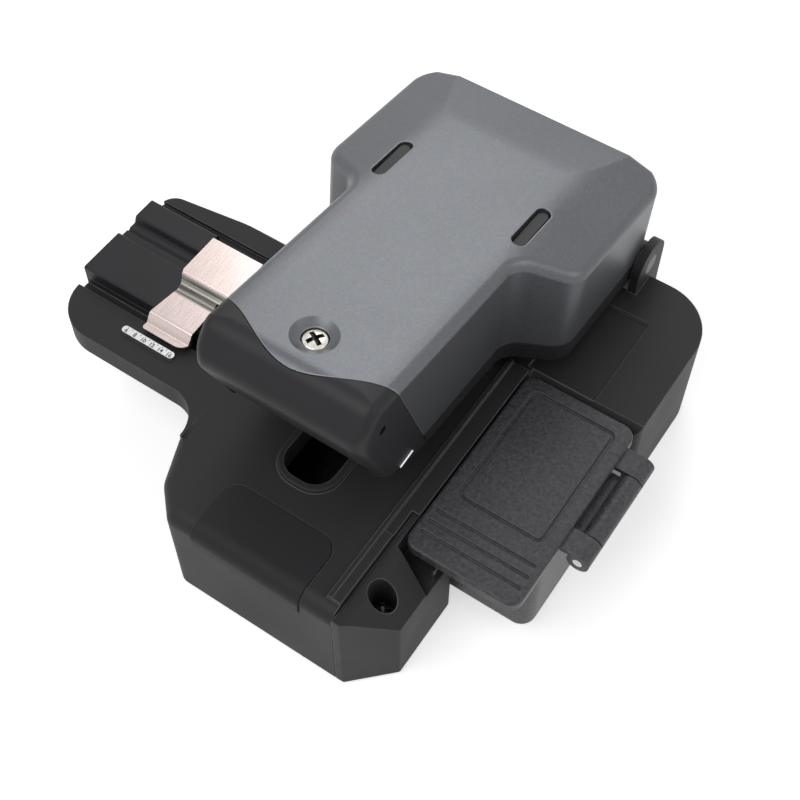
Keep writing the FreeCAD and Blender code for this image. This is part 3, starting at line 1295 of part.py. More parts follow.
def flange(x0, x1):
    """One flange of the steel arm with its round hinge eye."""
    eye = rod(V(x0, HINGE_Y, HINGE_Z), X_AXIS, EYE_RADIUS, x1 - x0)
    return side(flange_outline(), x0, x1).fuse(eye)


def flange_body(gap):
    """Both flanges of the steel arm, thickened by a gap for cutting."""
    inner = ARM_HALF_WIDTH - STEEL - gap
    outer = ARM_HALF_WIDTH + gap
    return flange(-outer, -inner).fuse(flange(inner, outer))


def make_lever_arm():
    """Plated steel channel that carries the nose, the clamp and the hinge load."""
    inner = ARM_HALF_WIDTH - STEEL
    arm = flange_body(0)
    web = box(-inner - WELD, inner + WELD, COVER_SCREW_Y - COVER_BOSS_RADIUS, WEB_REAR_Y - STEEL,
              WEB_BOTTOM_Z, WEB_TOP_Z)
    arm = arm.fuse(web)
    drills = rod(V(0, COVER_SCREW_Y, 0), Z_AXIS, M25_SHANK, BEYOND)
    for x in (-GUIDE_PIN_X, GUIDE_PIN_X):
        drills = drills.fuse(rod(V(x, FIBRE_Y, 0), Z_AXIS, GUIDE_PIN_RADIUS, BEYOND))
    drills = drills.fuse(rod(V(0, FIBRE_Y, 0), Z_AXIS, ANVIL_STEM, BEYOND))
    for y in BAR_PLACES:
        drills = drills.fuse(rod(V(0, y + BAR_LENGTH / 2, 0), Z_AXIS, M2_SHANK + RUN_GAP, BEYOND))
    drills = drills.fuse(rod(V(-BEYOND, HINGE_Y, HINGE_Z), X_AXIS, SHAFT_RADIUS + RUN_GAP, 2 * BEYOND))
    drills = drills.fuse(rod(V(-BEYOND, NOSE_PIN_Y, NOSE_PIN_Z), X_AXIS, NOSE_PIN_RADIUS, 2 * BEYOND))
    return arm.cut(drills).removeSplitter()


def make_cover_screw():
    """Screw through the dish in the cover into the steel arm."""
    top = lever_top_at(COVER_SCREW_Y) - COVER_DISH_DEPTH + HEAD_HEIGHT / 2
    length = top - WEB_BOTTOM_Z
    return cross_screw(V(0, COVER_SCREW_Y, top), M25_SHANK, M25_HEAD, length)


def make_slot_insert(x):
    """Insert that closes an oblong slot below the surface."""
    return plan(slot_plan(x, SEAT_GAP / 2), slot_floor_z(), slot_floor_z() + SLOT_INSERT)


def make_frame_screws():
    """Screws through the web of the steel arm into the frame's posts."""
    top = WEB_TOP_Z + HEAD_HEIGHT
    length = HEAD_HEIGHT + STEEL + FRAME_SCREW_LENGTH - WELD
    places = [V(0, y + BAR_LENGTH / 2, top) for y in BAR_PLACES]
    return Part.makeCompound([cross_screw(place, M2_SHANK, M2_HEAD, length) for place in places])


def carrier_bar():
    """Half width of the clamp carrier between the flanges."""
    return ARM_HALF_WIDTH - STEEL - SLIDE_GAP


def make_clamp_carrier():
    """Bar that holds the two upper pads and slides on the guide pins."""
    half = carrier_bar()
    top = CARRIER_BOTTOM_Z + CARRIER_HEIGHT
    y0 = FIBRE_Y - CLAMP_HALF_LENGTH
    y1 = FIBRE_Y + CLAMP_HALF_LENGTH
    bar = box(-half, half, y0, y1, CARRIER_BOTTOM_Z, top)
    for x in (-CLAMP_SPACING, CLAMP_SPACING):
        low = max(x - CLAMP_HALF_WIDTH, -half)
        high = min(x + CLAMP_HALF_WIDTH, half)
        bar = bar.fuse(box(low, high, y0, y1, upper_pad_top(), CARRIER_BOTTOM_Z + WELD))
    sink = GUIDE_PIN_RADIUS + PIN_SHOULDER + 2 * SLIDE_GAP
    for x in (-GUIDE_PIN_X, GUIDE_PIN_X):
        bar = bar.cut(rod(V(x, FIBRE_Y, 0), Z_AXIS, GUIDE_PIN_RADIUS + RUN_GAP, BEYOND))
        bar = bar.cut(rod(V(x, FIBRE_Y, 0), Z_AXIS, sink, CARRIER_BOTTOM_Z + GUIDE_PIN_HEAD))
    bar = bar.cut(rod(V(0, FIBRE_Y, 0), Z_AXIS, ANVIL_STEM + SLIDE_GAP, BEYOND))
    return bar.removeSplitter()


def upper_pad_top():
    """Height of the glue line above the upper pads."""
    return UPPER_PAD_BOTTOM_Z + UPPER_PAD_THICKNESS


def make_upper_pad(x):
    """Rubber pad under the clamp carrier."""
    half = min(CLAMP_HALF_WIDTH - CLAMP_PAD_INSET, carrier_bar() - CLAMP_SPACING)
    half_y = CLAMP_HALF_LENGTH - CLAMP_PAD_INSET
    pad = box(x - half, x + half, FIBRE_Y - half_y, FIBRE_Y + half_y, UPPER_PAD_BOTTOM_Z, upper_pad_top())
    return round_edges(pad, CLAMP_PAD_EDGE, lambda edge: at_height(edge, UPPER_PAD_BOTTOM_Z))


def make_guide_pins():
    """Two headed pins from the steel arm that guide the clamp carrier."""
    pins = []
    for x in (-GUIDE_PIN_X, GUIDE_PIN_X):
        foot = V(x, FIBRE_Y, CARRIER_BOTTOM_Z)
        head = rod(foot, Z_AXIS, GUIDE_PIN_RADIUS + PIN_SHOULDER, GUIDE_PIN_HEAD - SEAT_GAP / 2)
        pin = rod(foot, Z_AXIS, GUIDE_PIN_RADIUS, WEB_TOP_Z - CARRIER_BOTTOM_Z).fuse(head)
        pins.append(pin.removeSplitter())
    return Part.makeCompound(pins)


def make_clamp_spring(x):
    """Coil spring round a guide pin, between the steel arm and the carrier."""
    low = CARRIER_BOTTOM_Z + CARRIER_HEIGHT + CLAMP_SPRING_WIRE / 2
    high = WEB_BOTTOM_Z - CLAMP_SPRING_WIRE / 2
    radius = GUIDE_PIN_RADIUS + CLAMP_SPRING_WIRE / 2 + 3 * SLIDE_GAP
    return coil(V(x, FIBRE_Y, low), Z_AXIS, radius, CLAMP_SPRING_WIRE, high - low, CLAMP_SPRING_COILS)


def make_anvil_holder():
    """Block above the blade, fixed to the steel arm by its stem."""
    face_z = ANVIL_BOTTOM_Z + ANVIL_FACE_THICKNESS
    block = box(-ANVIL_HALF_WIDTH, ANVIL_HALF_WIDTH, FIBRE_Y - ANVIL_HALF_LENGTH, FIBRE_Y + ANVIL_HALF_LENGTH,
                face_z, CARRIER_BOTTOM_Z - CLAMP_TRAVEL / 4)
    stem = rod(V(0, FIBRE_Y, face_z), Z_AXIS, ANVIL_STEM, WEB_TOP_Z - face_z)
    return block.fuse(stem).removeSplitter()


def make_anvil_face():
    """Hard rubber face that bends the fibre over the scribed line."""
    bottom = ANVIL_BOTTOM_Z
    return box(-ANVIL_HALF_WIDTH, ANVIL_HALF_WIDTH, FIBRE_Y - ANVIL_HALF_LENGTH, FIBRE_Y + ANVIL_HALF_LENGTH,
               bottom, bottom + ANVIL_FACE_THICKNESS)


# ========================================================================= hinge

def make_hinge_shaft():
    """Ground shaft through both ears and the lever."""
    return rod(V(-EAR_OUTER_X, HINGE_Y, HINGE_Z), X_AXIS, SHAFT_RADIUS, 2 * EAR_OUTER_X)


def make_hinge_washers():
    """Thin washers between the lever and the ears."""
    washers = []
    near = LEVER_WIDE + SLIDE_GAP / 2
    for x in (near, -near - WASHER_THICKNESS):
        start = V(x, HINGE_Y, HINGE_Z)
        washers.append(tube(start, X_AXIS, LUG_RADIUS, SHAFT_RADIUS + RUN_GAP, WASHER_THICKNESS))
    return Part.makeCompound(washers)


def make_hinge_spring():
    """Torsion spring round the shaft that lifts the lever."""
    length = TORSION_COILS * TORSION_PITCH
    start = V(-length / 2, HINGE_Y, HINGE_Z)
    return coil(start, X_AXIS, TORSION_COIL_RADIUS, TORSION_WIRE, length, TORSION_COILS)


# ===================================================================== waste bin

def make_bin_box():
    """Open box for fibre scraps, with the middle knuckle of the lid hinge."""
    left = BAY_LEFT_X + SLIDE_GAP
    bottom = SHELF_TOP_Z + SLIDE_GAP
    rim = LID_TOP_Z - LID_THICKNESS - KNUCKLE_GAP
    body = plan(rectangle(left, BIN_RIGHT_X, BIN_FRONT_Y, BIN_REAR_Y, BIN_CORNER_RADIUS), bottom, rim)
    body = round_edges(body, BIN_WALL, lambda edge: at_height(edge, bottom))
    wall = BIN_WALL
    hollow = plan(rectangle(left + wall, BIN_RIGHT_X - wall, BIN_FRONT_Y + wall, BIN_REAR_Y - wall,
                            BIN_CORNER_RADIUS - wall), bottom + wall, BEYOND)
    body = body.cut(hollow)
    y0 = KNUCKLE_FRONT_Y + KNUCKLE_END + KNUCKLE_GAP
    y1 = KNUCKLE_REAR_Y - KNUCKLE_END - KNUCKLE_GAP
    low = KNUCKLE_Z - KNUCKLE_RADIUS
    web = box(BIN_RIGHT_X - wall / 2, KNUCKLE_X, y0, y1, low, low + KNUCKLE_WEB)
    gusset = front([(BIN_RIGHT_X - wall / 2, KNUCKLE_Z - 3 * KNUCKLE_RADIUS, 0),
                    (KNUCKLE_X, KNUCKLE_Z - KNUCKLE_RADIUS + WELD, 0),
                    (BIN_RIGHT_X - wall / 2, KNUCKLE_Z - KNUCKLE_RADIUS + WELD, 0)], y0, y1)
    barrel = rod(V(KNUCKLE_X, y0, KNUCKLE_Z), Y_AXIS, KNUCKLE_RADIUS, y1 - y0)
    body = body.fuse(web).fuse(gusset).fuse(barrel)
    body = body.cut(rod(V(KNUCKLE_X, -BEYOND, KNUCKLE_Z), Y_AXIS, LID_PIN_RADIUS, 2 * BEYOND))
    return body.removeSplitter()


def make_lid_pin():
    """Steel pin of the lid hinge."""
    start = V(KNUCKLE_X, KNUCKLE_FRONT_Y, KNUCKLE_Z)
    return rod(start, Y_AXIS, LID_PIN_RADIUS, KNUCKLE_REAR_Y - KNUCKLE_FRONT_Y)


def lid_knuckle(y):
    """One end knuckle of the lid, with the tongue that joins it to the lid."""
    bottom = LID_TOP_Z - LID_THICKNESS
    tongue = box(LID_RIGHT_X - TONGUE_OVERLAP, KNUCKLE_X, y, y + KNUCKLE_END,
                 bottom, KNUCKLE_Z + KNUCKLE_RADIUS)
    return tongue.fuse(rod(V(KNUCKLE_X, y, KNUCKLE_Z), Y_AXIS, KNUCKLE_RADIUS, KNUCKLE_END))


def make_bin_lid():
    """Lid with a framed panel, three grip grooves and two hinge knuckles."""
    bottom = LID_TOP_Z - LID_THICKNESS
    corners = rectangle(LID_LEFT_X, LID_RIGHT_X, LID_FRONT_Y, LID_REAR_Y, LID_CORNER_RADIUS)
    lid = plan(corners, bottom, LID_TOP_Z)
    lid = round_edges(lid, LID_THICKNESS / 4, lambda edge: at_height(edge, LID_TOP_Z))
    inset = LID_PANEL_INSET
    outer = rectangle(LID_LEFT_X + inset, LID_RIGHT_X - inset, LID_PANEL_FRONT_Y, LID_REAR_Y - inset,
                      LID_PANEL_RADIUS)
    groove = LID_GROOVE_WIDTH
    inner = rectangle(LID_LEFT_X + inset + groove, LID_RIGHT_X - inset - groove, LID_PANEL_FRONT_Y + groove,
                      LID_REAR_Y - inset - groove, LID_PANEL_RADIUS - groove)
    floor = LID_TOP_Z - LID_GROOVE_DEPTH
    lid = lid.cut(plan(outer, floor, BEYOND).cut(plan(inner, floor, BEYOND)))
    for i in range(LID_GRIP_COUNT):
        y = LID_GRIP_Y + i * LID_GRIP_PITCH
        grip = rectangle(LID_LEFT_X + inset / 2, LID_RIGHT_X - inset / 2, y, y + groove,
                         groove / 2 * ROUND_END)
        lid = lid.cut(plan(grip, floor, BEYOND))
    lid = lid.fuse(lid_knuckle(KNUCKLE_FRONT_Y)).fuse(lid_knuckle(KNUCKLE_REAR_Y - KNUCKLE_END))
    lid = lid.cut(rod(V(KNUCKLE_X, -BEYOND, KNUCKLE_Z), Y_AXIS, LID_PIN_RADIUS + RUN_GAP, 2 * BEYOND))
    relief = rod(V(KNUCKLE_X, KNUCKLE_FRONT_Y + KNUCKLE_END, KNUCKLE_Z), Y_AXIS, KNUCKLE_RADIUS + KNUCKLE_GAP,
                 KNUCKLE_REAR_Y - KNUCKLE_FRONT_Y - 2 * KNUCKLE_END)
    return lid.cut(relief).removeSplitter()


def make_bin_catch():
    """Spring leaf standing in the housing's recess, under the lid's front edge."""
    x = HOUSING_RIGHT_X - 2 * CATCH_THICKNESS
    y = LID_FRONT_Y + CATCH_THICKNESS
    z = HOUSING_TOP_Z - RECESS_DEPTH
    return box(x - CATCH_THICKNESS, x, y, y + CATCH_LENGTH, z, z + CATCH_HEIGHT)


# ==================================================================== leaf clip

def make_clip_leaf():
    """Spring-steel leaf with two pressed beads and a curled front lip."""
    low = CLIP_BOTTOM_Z
    t = CLIP_THICKNESS
    fall_y = HOLDER_FRONT_Y - CLIP_OVERHANG
    foot_y = fall_y - CLIP_RAMP
    upper = [(CLIP_FRONT_Y, CLIP_LIP_Z + t, 0), (foot_y - t, CLIP_LIP_Z + t, CLIP_BEND),
             (fall_y - t, low + t, CLIP_BEND + t)]
    for y in (CLIP_BEAD_Y - CLIP_BEAD_PITCH / 2, CLIP_BEAD_Y + CLIP_BEAD_PITCH / 2):
        upper = upper + clip_bead(y, low + t)
    rear = [(CLIP_AXIS_Y, low + t, 0), (CLIP_AXIS_Y, low, 0)]
    lower = [(fall_y, low, CLIP_BEND), (foot_y, CLIP_LIP_Z, CLIP_BEND + t), (CLIP_FRONT_Y, CLIP_LIP_Z, 0)]
    leaf = side(upper + rear + lower, CLIP_LEFT_X, CLIP_RIGHT_X)
    barrel = rod(V(CLIP_LEFT_X, CLIP_AXIS_Y, CLIP_AXIS_Z), X_AXIS, CLIP_BARREL_RADIUS, CLIP_WIDTH)
    neck = box(CLIP_LEFT_X, CLIP_RIGHT_X, CLIP_AXIS_Y, CLIP_AXIS_Y + t, CLIP_AXIS_Z, low + t)
    leaf = leaf.fuse(barrel).fuse(neck)
    leaf = leaf.cut(rod(V(-BEYOND, CLIP_AXIS_Y, CLIP_AXIS_Z), X_AXIS, CLIP_PIN_RADIUS + RUN_GAP, 2 * BEYOND))
    return leaf.common(plan(clip_outline(), 0, BEYOND)).removeSplitter()


def clip_bead(y, z):
    """Section of one pressed bead that stands up from the leaf."""
    half = CLIP_BEAD_PITCH / 4
    return [(y - half, z, CLIP_BEAD_RADIUS), (y, z + CLIP_BEAD_HEIGHT, CLIP_BEAD_RADIUS),
            (y + half, z, CLIP_BEAD_RADIUS)]


def clip_outline():
    """Plan of the leaf: full width behind the beads, a waist at them and a tapered front."""
    rear = CLIP_AXIS_Y + 2 * CLIP_BARREL_RADIUS
    wide_y = CLIP_BEAD_Y + CLIP_BEAD_PITCH
    waist_y = CLIP_BEAD_Y - CLIP_BEAD_PITCH / 2
    taper = CLIP_FRONT_TAPER
    return [
        (CLIP_LEFT_X, rear, 0),
        (CLIP_LEFT_X, wide_y, CLIP_SOFT),
        (CLIP_LEFT_X + CLIP_WAIST, waist_y, CLIP_SOFT),
        (CLIP_LEFT_X + taper, CLIP_FRONT_Y, CLIP_SOFT),
        (CLIP_RIGHT_X - taper, CLIP_FRONT_Y, CLIP_CORNER),
        (CLIP_RIGHT_X - CLIP_WAIST / 2, waist_y, CLIP_SOFT),
        (CLIP_RIGHT_X, wide_y, CLIP_SOFT),
        (CLIP_RIGHT_X, rear, 0),
    ]


def make_clip_pad():
    """Soft pad under the leaf that presses the fibre into its groove."""
    x = (CLIP_LEFT_X + CLIP_RIGHT_X) / 2
    half = CLIP_PAD_LENGTH / 2
    half_y = CLIP_PAD_WIDTH / 2
    return box(x - half, x + half, FIBRE_Y - half_y, FIBRE_Y + half_y, FIBRE_Z + CLIP_PAD_GAP, CLIP_BOTTOM_Z)


# ========================================================================= build

def build_fixed():
    """Parts that stay with the chassis."""
    save("chassis", make_chassis())
    save("right_housing", make_right_housing())
    save("housing_screw", make_housing_screw())
    save("base_cover", make_base_cover())
    save("cover_plate_screws", make_cover_screws())
    for name, (x, y) in foot_places().items():
        save(name, make_foot(x, y))
    save("grip_pad", make_grip_pad())
    save("fibre_holder", make_fibre_holder())
    save("ruler", make_ruler())
    save("clip_pin", make_clip_pin())
    save("clamp_block_left", make_clamp_block(-CLAMP_SPACING))
    save("clamp_block_right", make_clamp_block(CLAMP_SPACING))
    save("lower_pad_left", make_lower_pad(-CLAMP_SPACING))
    save("lower_pad_right", make_lower_pad(CLAMP_SPACING))
    save("rest_pads", make_rest_pads())
    save("guide_rail", make_guide_rail())
    save("guide_screws", make_guide_screws())
    save("spring_post", make_spring_post())
    save("hinge_shaft", make_hinge_shaft())
    save("hinge_washers", make_hinge_washers())
    save("hinge_spring", make_hinge_spring())
    save("bin_catch", make_bin_catch())


def build_lever():
    """Parts that swing with the lever."""
    save("lever_cover", ajar(make_lever_cover()))
    save("lever_nose", ajar(make_lever_nose()))
    save("lever_frame", ajar(make_lever_frame()))
    save("lever_arm", ajar(make_lever_arm()))
    save("nose_pin", ajar(make_nose_pin()))
    save("cover_screw", ajar(make_cover_screw()))
    save("frame_screws", ajar(make_frame_screws()))
    save("slot_insert_left", ajar(make_slot_insert(slot_places()[0])))
    save("slot_insert_right", ajar(make_slot_insert(slot_places()[1])))
    save("guide_pins", ajar(make_guide_pins()))
    save("anvil_holder", ajar(make_anvil_holder()))
    save("anvil_face", ajar(make_anvil_face()))
    save("clamp_carrier", ajar(make_clamp_carrier()))
    save("upper_pad_left", ajar(make_upper_pad(-CLAMP_SPACING)))
    save("upper_pad_right", ajar(make_upper_pad(CLAMP_SPACING)))
    save("clamp_spring_left", ajar(make_clamp_spring(-GUIDE_PIN_X)))
    save("clamp_spring_right", ajar(make_clamp_spring(GUIDE_PIN_X)))


def build_moving():
    """Blade carriage, clip and waste bin."""
    save("carriage", make_carriage())
    save("blade_holder", make_blade_holder())
    save("carriage_screws", make_carriage_screws())
    save("blade", make_blade())
    save("blade_axle", make_blade_axle())
    save("carriage_spring", make_carriage_spring())
    save("clip_leaf", make_clip_leaf())
    save("clip_pad", make_clip_pad())
    save("bin_box", make_bin_box())
    save("bin_lid", make_bin_lid())
    save("lid_pin", make_lid_pin())


build_fixed()
build_lever()
build_moving()
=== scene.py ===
import bpy
import math
from mathutils import Matrix, Vector


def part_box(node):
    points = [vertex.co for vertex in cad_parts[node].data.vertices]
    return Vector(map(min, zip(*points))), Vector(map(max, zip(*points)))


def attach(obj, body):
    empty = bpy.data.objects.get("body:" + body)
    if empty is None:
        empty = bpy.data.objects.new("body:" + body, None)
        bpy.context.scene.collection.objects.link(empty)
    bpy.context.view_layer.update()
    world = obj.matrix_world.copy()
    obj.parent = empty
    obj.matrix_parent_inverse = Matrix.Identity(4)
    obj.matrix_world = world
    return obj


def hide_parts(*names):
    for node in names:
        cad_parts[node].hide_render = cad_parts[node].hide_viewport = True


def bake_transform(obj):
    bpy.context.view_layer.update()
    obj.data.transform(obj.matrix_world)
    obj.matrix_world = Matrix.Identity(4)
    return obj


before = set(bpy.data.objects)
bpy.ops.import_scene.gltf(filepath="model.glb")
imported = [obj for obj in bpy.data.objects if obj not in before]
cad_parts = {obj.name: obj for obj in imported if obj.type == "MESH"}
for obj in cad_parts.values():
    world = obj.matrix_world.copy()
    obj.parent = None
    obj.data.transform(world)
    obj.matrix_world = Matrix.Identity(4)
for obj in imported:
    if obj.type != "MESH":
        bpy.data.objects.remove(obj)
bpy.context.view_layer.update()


# ------------------------------------------------------------------ chassis
# The body is one zinc die casting: a tall front block with the blade window,
# a lower rear block with the hinge ears, and the arm that reaches out to the
# left. It is shot-blasted and then powder coated satin black.

MM = 0.001
SKIN_RELIEF = 0.02 * MM
FINE_RELIEF = 0.01 * MM
EDGE_SAMPLES = 6


def linear(colour):
    """Linear RGBA of an sRGB hex colour."""
    channels = []
    for start in (0, 2, 4):
        value = int(colour[start:start + 2], 16) / 255
        channels.append(value / 12.92 if value <= 0.04045 else ((value + 0.055) / 1.055) ** 2.4)
    return (*channels, 1.0)


def add(tree, kind, sockets=None, **settings):
    """Add a node with its settings, and set or link its input sockets."""
    made = tree.nodes.new(kind)
    for name, value in settings.items():
        setattr(made, name, value)
    for name, value in (sockets or {}).items():
        if isinstance(value, bpy.types.NodeSocket):
            tree.links.new(value, made.inputs[name])
        else:
            made.inputs[name].default_value = value
    return made


def new_finish(name):
    """Empty material and its node tree."""
    finish = bpy.data.materials.new(name)
    finish.use_nodes = True
    finish.node_tree.nodes.clear()
    return finish, finish.node_tree


def dress(names, finish):
    """Give CAD nodes a finish."""
    for name in names:
        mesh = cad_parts[name].data
        mesh.materials.clear()
        mesh.materials.append(finish)


# Powder coat: satin, with a fine orange peel. Its edges are painted paler, partly
# thinner paint and partly a painted highlight, which gives a grainy light rim.
COAT_PEEL = 0.45
COAT_CLOUD = 14.0
COAT_EDGE = 0.35
powder_coat, tree = new_finish("powder_coated_zinc_casting")
place = add(tree, "ShaderNodeTexCoord").outputs["Object"]
peel = add(tree, "ShaderNodeTexNoise", {
    "Vector": place, "Scale": 1 / (COAT_PEEL * MM), "Detail": 3.0})
cloud = add(tree, "ShaderNodeTexNoise", {
    "Vector": place, "Scale": 1 / (COAT_CLOUD * MM), "Detail": 4.0})
soft = add(tree, "ShaderNodeBevel", {"Radius": COAT_EDGE * MM}, samples=EDGE_SAMPLES)
true_normal = add(tree, "ShaderNodeNewGeometry").outputs["Normal"]
facing = add(tree, "ShaderNodeVectorMath", {
    0: soft.outputs[0], 1: true_normal}, operation="DOT_PRODUCT")
edge = add(tree, "ShaderNodeMapRange", {
    "Value": facing.outputs["Value"], "From Min": 0.99, "From Max": 0.86, "To Min": 0.0,
    "To Max": 0.8})
shade = add(tree, "ShaderNodeMix", {
    0: cloud.outputs[0], 6: linear("29292a"), 7: linear("353537")}, data_type="RGBA")
# The edges are painted paler: partly thinner paint, partly a painted highlight.
worn_and_highlit = add(tree, "ShaderNodeMix", {
    0: edge.outputs[0], 6: shade.outputs[2], 7: linear("808083")}, data_type="RGBA")
rough = add(tree, "ShaderNodeMapRange", {
    "Value": cloud.outputs[0], "From Min": 0.3, "From Max": 0.7, "To Min": 0.50, "To Max": 0.60})
bump = add(tree, "ShaderNodeBump", {
    "Strength": 0.22, "Distance": SKIN_RELIEF, "Height": peel.outputs[0],
    "Normal": soft.outputs[0]})
shader = add(tree, "ShaderNodeBsdfPrincipled", {
    "Base Color": worn_and_highlit.outputs[2], "Roughness": rough.outputs[0], "Normal": bump.outputs[0],
    "IOR": 1.5, "Specular IOR Level": 0.2})
add(tree, "ShaderNodeOutputMaterial", {"Surface": shader.outputs[0]})
dress(["chassis", "right_housing"], powder_coat)


# -------------------------------------------------------------- base cover
# A pressed plate closes the underside. Four countersunk screws hold it, and
# four rubber feet are glued into shallow seats in it.

# Sprayed steel sheet: a flat, even black.
sheet_black, tree = new_finish("painted_steel_sheet")
place = add(tree, "ShaderNodeTexCoord").outputs["Object"]
grain = add(tree, "ShaderNodeTexNoise", {"Vector": place, "Scale": 1 / (0.6 * MM), "Detail": 2.0})
shade = add(tree, "ShaderNodeMix", {
    0: grain.outputs[0], 6: linear("1d1d1f"), 7: linear("262628")}, data_type="RGBA")
bump = add(tree, "ShaderNodeBump", {
    "Strength": 0.1, "Distance": SKIN_RELIEF, "Height": grain.outputs[0]})
shader = add(tree, "ShaderNodeBsdfPrincipled", {
    "Base Color": shade.outputs[2], "Roughness": 0.55, "Normal": bump.outputs[0], "IOR": 1.5})
add(tree, "ShaderNodeOutputMaterial", {"Surface": shader.outputs[0]})
dress(["base_cover"], sheet_black)

# Moulded rubber: matt, slightly grey, with a fine sandy skin.
rubber, tree = new_finish("moulded_rubber")
place = add(tree, "ShaderNodeTexCoord").outputs["Object"]
skin = add(tree, "ShaderNodeTexNoise", {"Vector": place, "Scale": 1 / (0.25 * MM), "Detail": 3.0})
shade = add(tree, "ShaderNodeMix", {
    0: skin.outputs[0], 6: linear("171718"), 7: linear("212123")}, data_type="RGBA")
bump = add(tree, "ShaderNodeBump", {
    "Strength": 0.3, "Distance": SKIN_RELIEF, "Height": skin.outputs[0]})
shader = add(tree, "ShaderNodeBsdfPrincipled", {
    "Base Color": shade.outputs[2], "Roughness": 0.8, "Normal": bump.outputs[0], "IOR": 1.5})
add(tree, "ShaderNodeOutputMaterial", {"Surface": shader.outputs[0]})
dress([
    "foot_front_left", "foot_front_right", "foot_rear_left", "foot_rear_right", "rest_pads",
    "lower_pad_left", "lower_pad_right", "upper_pad_left", "upper_pad_right", "clip_pad",
    "anvil_face"], rubber)

# Bright zinc plate: pale metal with a slightly mottled passivated skin.
zinc, tree = new_finish("zinc_plated_steel")
place = add(tree, "ShaderNodeTexCoord").outputs["Object"]
mottle = add(tree, "ShaderNodeTexNoise", {"Vector": place, "Scale": 1 / (0.8 * MM), "Detail": 3.0})
shade = add(tree, "ShaderNodeMix", {
    0: mottle.outputs[0], 6: linear("a4a6a8"), 7: linear("c2c3c4")}, data_type="RGBA")
rough = add(tree, "ShaderNodeMapRange", {
    "Value": mottle.outputs[0], "To Min": 0.24, "To Max": 0.42})
shader = add(tree, "ShaderNodeBsdfPrincipled", {
    "Base Color": shade.outputs[2], "Metallic": 1.0, "Roughness": rough.outputs[0]})
add(tree, "ShaderNodeOutputMaterial", {"Surface": shader.outputs[0]})
dress(["cover_plate_screws", "frame_screws", "guide_screws", "carriage_screws", "blade_axle"], zinc)


# ---------------------------------------------------------------- grip pad
# A soft pad for the thumb is let into the front top edge and bonded there.
# It wraps over onto the front wall.

# Soft-touch elastomer: nearly black, velvety, with a very broad highlight.
soft_touch, tree = new_finish("soft_touch_elastomer")
place = add(tree, "ShaderNodeTexCoord").outputs["Object"]
skin = add(tree, "ShaderNodeTexNoise", {"Vector": place, "Scale": 1 / (0.35 * MM), "Detail": 3.0})
soft = add(tree, "ShaderNodeBevel", {"Radius": 0.3 * MM}, samples=EDGE_SAMPLES)
shade = add(tree, "ShaderNodeMix", {
    0: skin.outputs[0], 6: linear("222224"), 7: linear("2a2a2c")}, data_type="RGBA")
bump = add(tree, "ShaderNodeBump", {
    "Strength": 0.25, "Distance": SKIN_RELIEF, "Height": skin.outputs[0],
    "Normal": soft.outputs[0]})
shader = add(tree, "ShaderNodeBsdfPrincipled", {
    "Base Color": shade.outputs[2], "Roughness": 0.6, "Normal": bump.outputs[0], "IOR": 1.5,
    "Specular IOR Level": 0.2, "Sheen Weight": 0.04, "Sheen Roughness": 0.5})
add(tree, "ShaderNodeOutputMaterial", {"Surface": shader.outputs[0]})
dress(["grip_pad"], soft_touch)


# ------------------------------------------------------------ fibre holder
# The grooved block that lines the fibre up with the blade, screwed down on
# the left arm. The nose and the lower frame of the lever are the same black.

# Glass-filled nylon: satin black with a fine spark-eroded grain.
nylon, tree = new_finish("glass_filled_nylon")
place = add(tree, "ShaderNodeTexCoord").outputs["Object"]
spark = add(tree, "ShaderNodeTexNoise", {"Vector": place, "Scale": 1 / (0.3 * MM), "Detail": 4.0})
cloud = add(tree, "ShaderNodeTexNoise", {"Vector": place, "Scale": 1 / (9.0 * MM), "Detail": 2.0})
soft = add(tree, "ShaderNodeBevel", {"Radius": 0.3 * MM}, samples=EDGE_SAMPLES)
shade = add(tree, "ShaderNodeMix", {
    0: cloud.outputs[0], 6: linear("1f1f21"), 7: linear("29292c")}, data_type="RGBA")
bump = add(tree, "ShaderNodeBump", {
    "Strength": 0.25, "Distance": SKIN_RELIEF, "Height": spark.outputs[0],
    "Normal": soft.outputs[0]})
shader = add(tree, "ShaderNodeBsdfPrincipled", {
    "Base Color": shade.outputs[2], "Roughness": 0.46, "Normal": bump.outputs[0], "IOR": 1.5,
    "Specular IOR Level": 0.25})
add(tree, "ShaderNodeOutputMaterial", {"Surface": shader.outputs[0]})
dress(["fibre_holder", "lever_nose", "lever_frame"], nylon)


# ------------------------------------------------------------------- scale
# A small steel rule pegged to the arm. Its marks are etched and filled: one
# tick for each millimetre, and a figure at every second tick.

# Satin stainless: brushed along its length.
scale_steel, tree = new_finish("satin_stainless_rule")
place = add(tree, "ShaderNodeTexCoord").outputs["Object"]
along = add(tree, "ShaderNodeMapping", {"Vector": place, "Scale": (0.04, 1.0, 1.0)})
brush = add(tree, "ShaderNodeTexNoise", {
    "Vector": along.outputs[0], "Scale": 1 / (0.06 * MM), "Detail": 2.0})
shade = add(tree, "ShaderNodeMix", {
    0: brush.outputs[0], 6: linear("b9babb"), 7: linear("dcdcdc")}, data_type="RGBA")
bump = add(tree, "ShaderNodeBump", {
    "Strength": 0.2, "Distance": FINE_RELIEF, "Height": brush.outputs[0]})
shader = add(tree, "ShaderNodeBsdfPrincipled", {
    "Base Color": shade.outputs[2], "Metallic": 1.0, "Roughness": 0.32, "Normal": bump.outputs[0]})
add(tree, "ShaderNodeOutputMaterial", {"Surface": shader.outputs[0]})
dress(["ruler"], scale_steel)

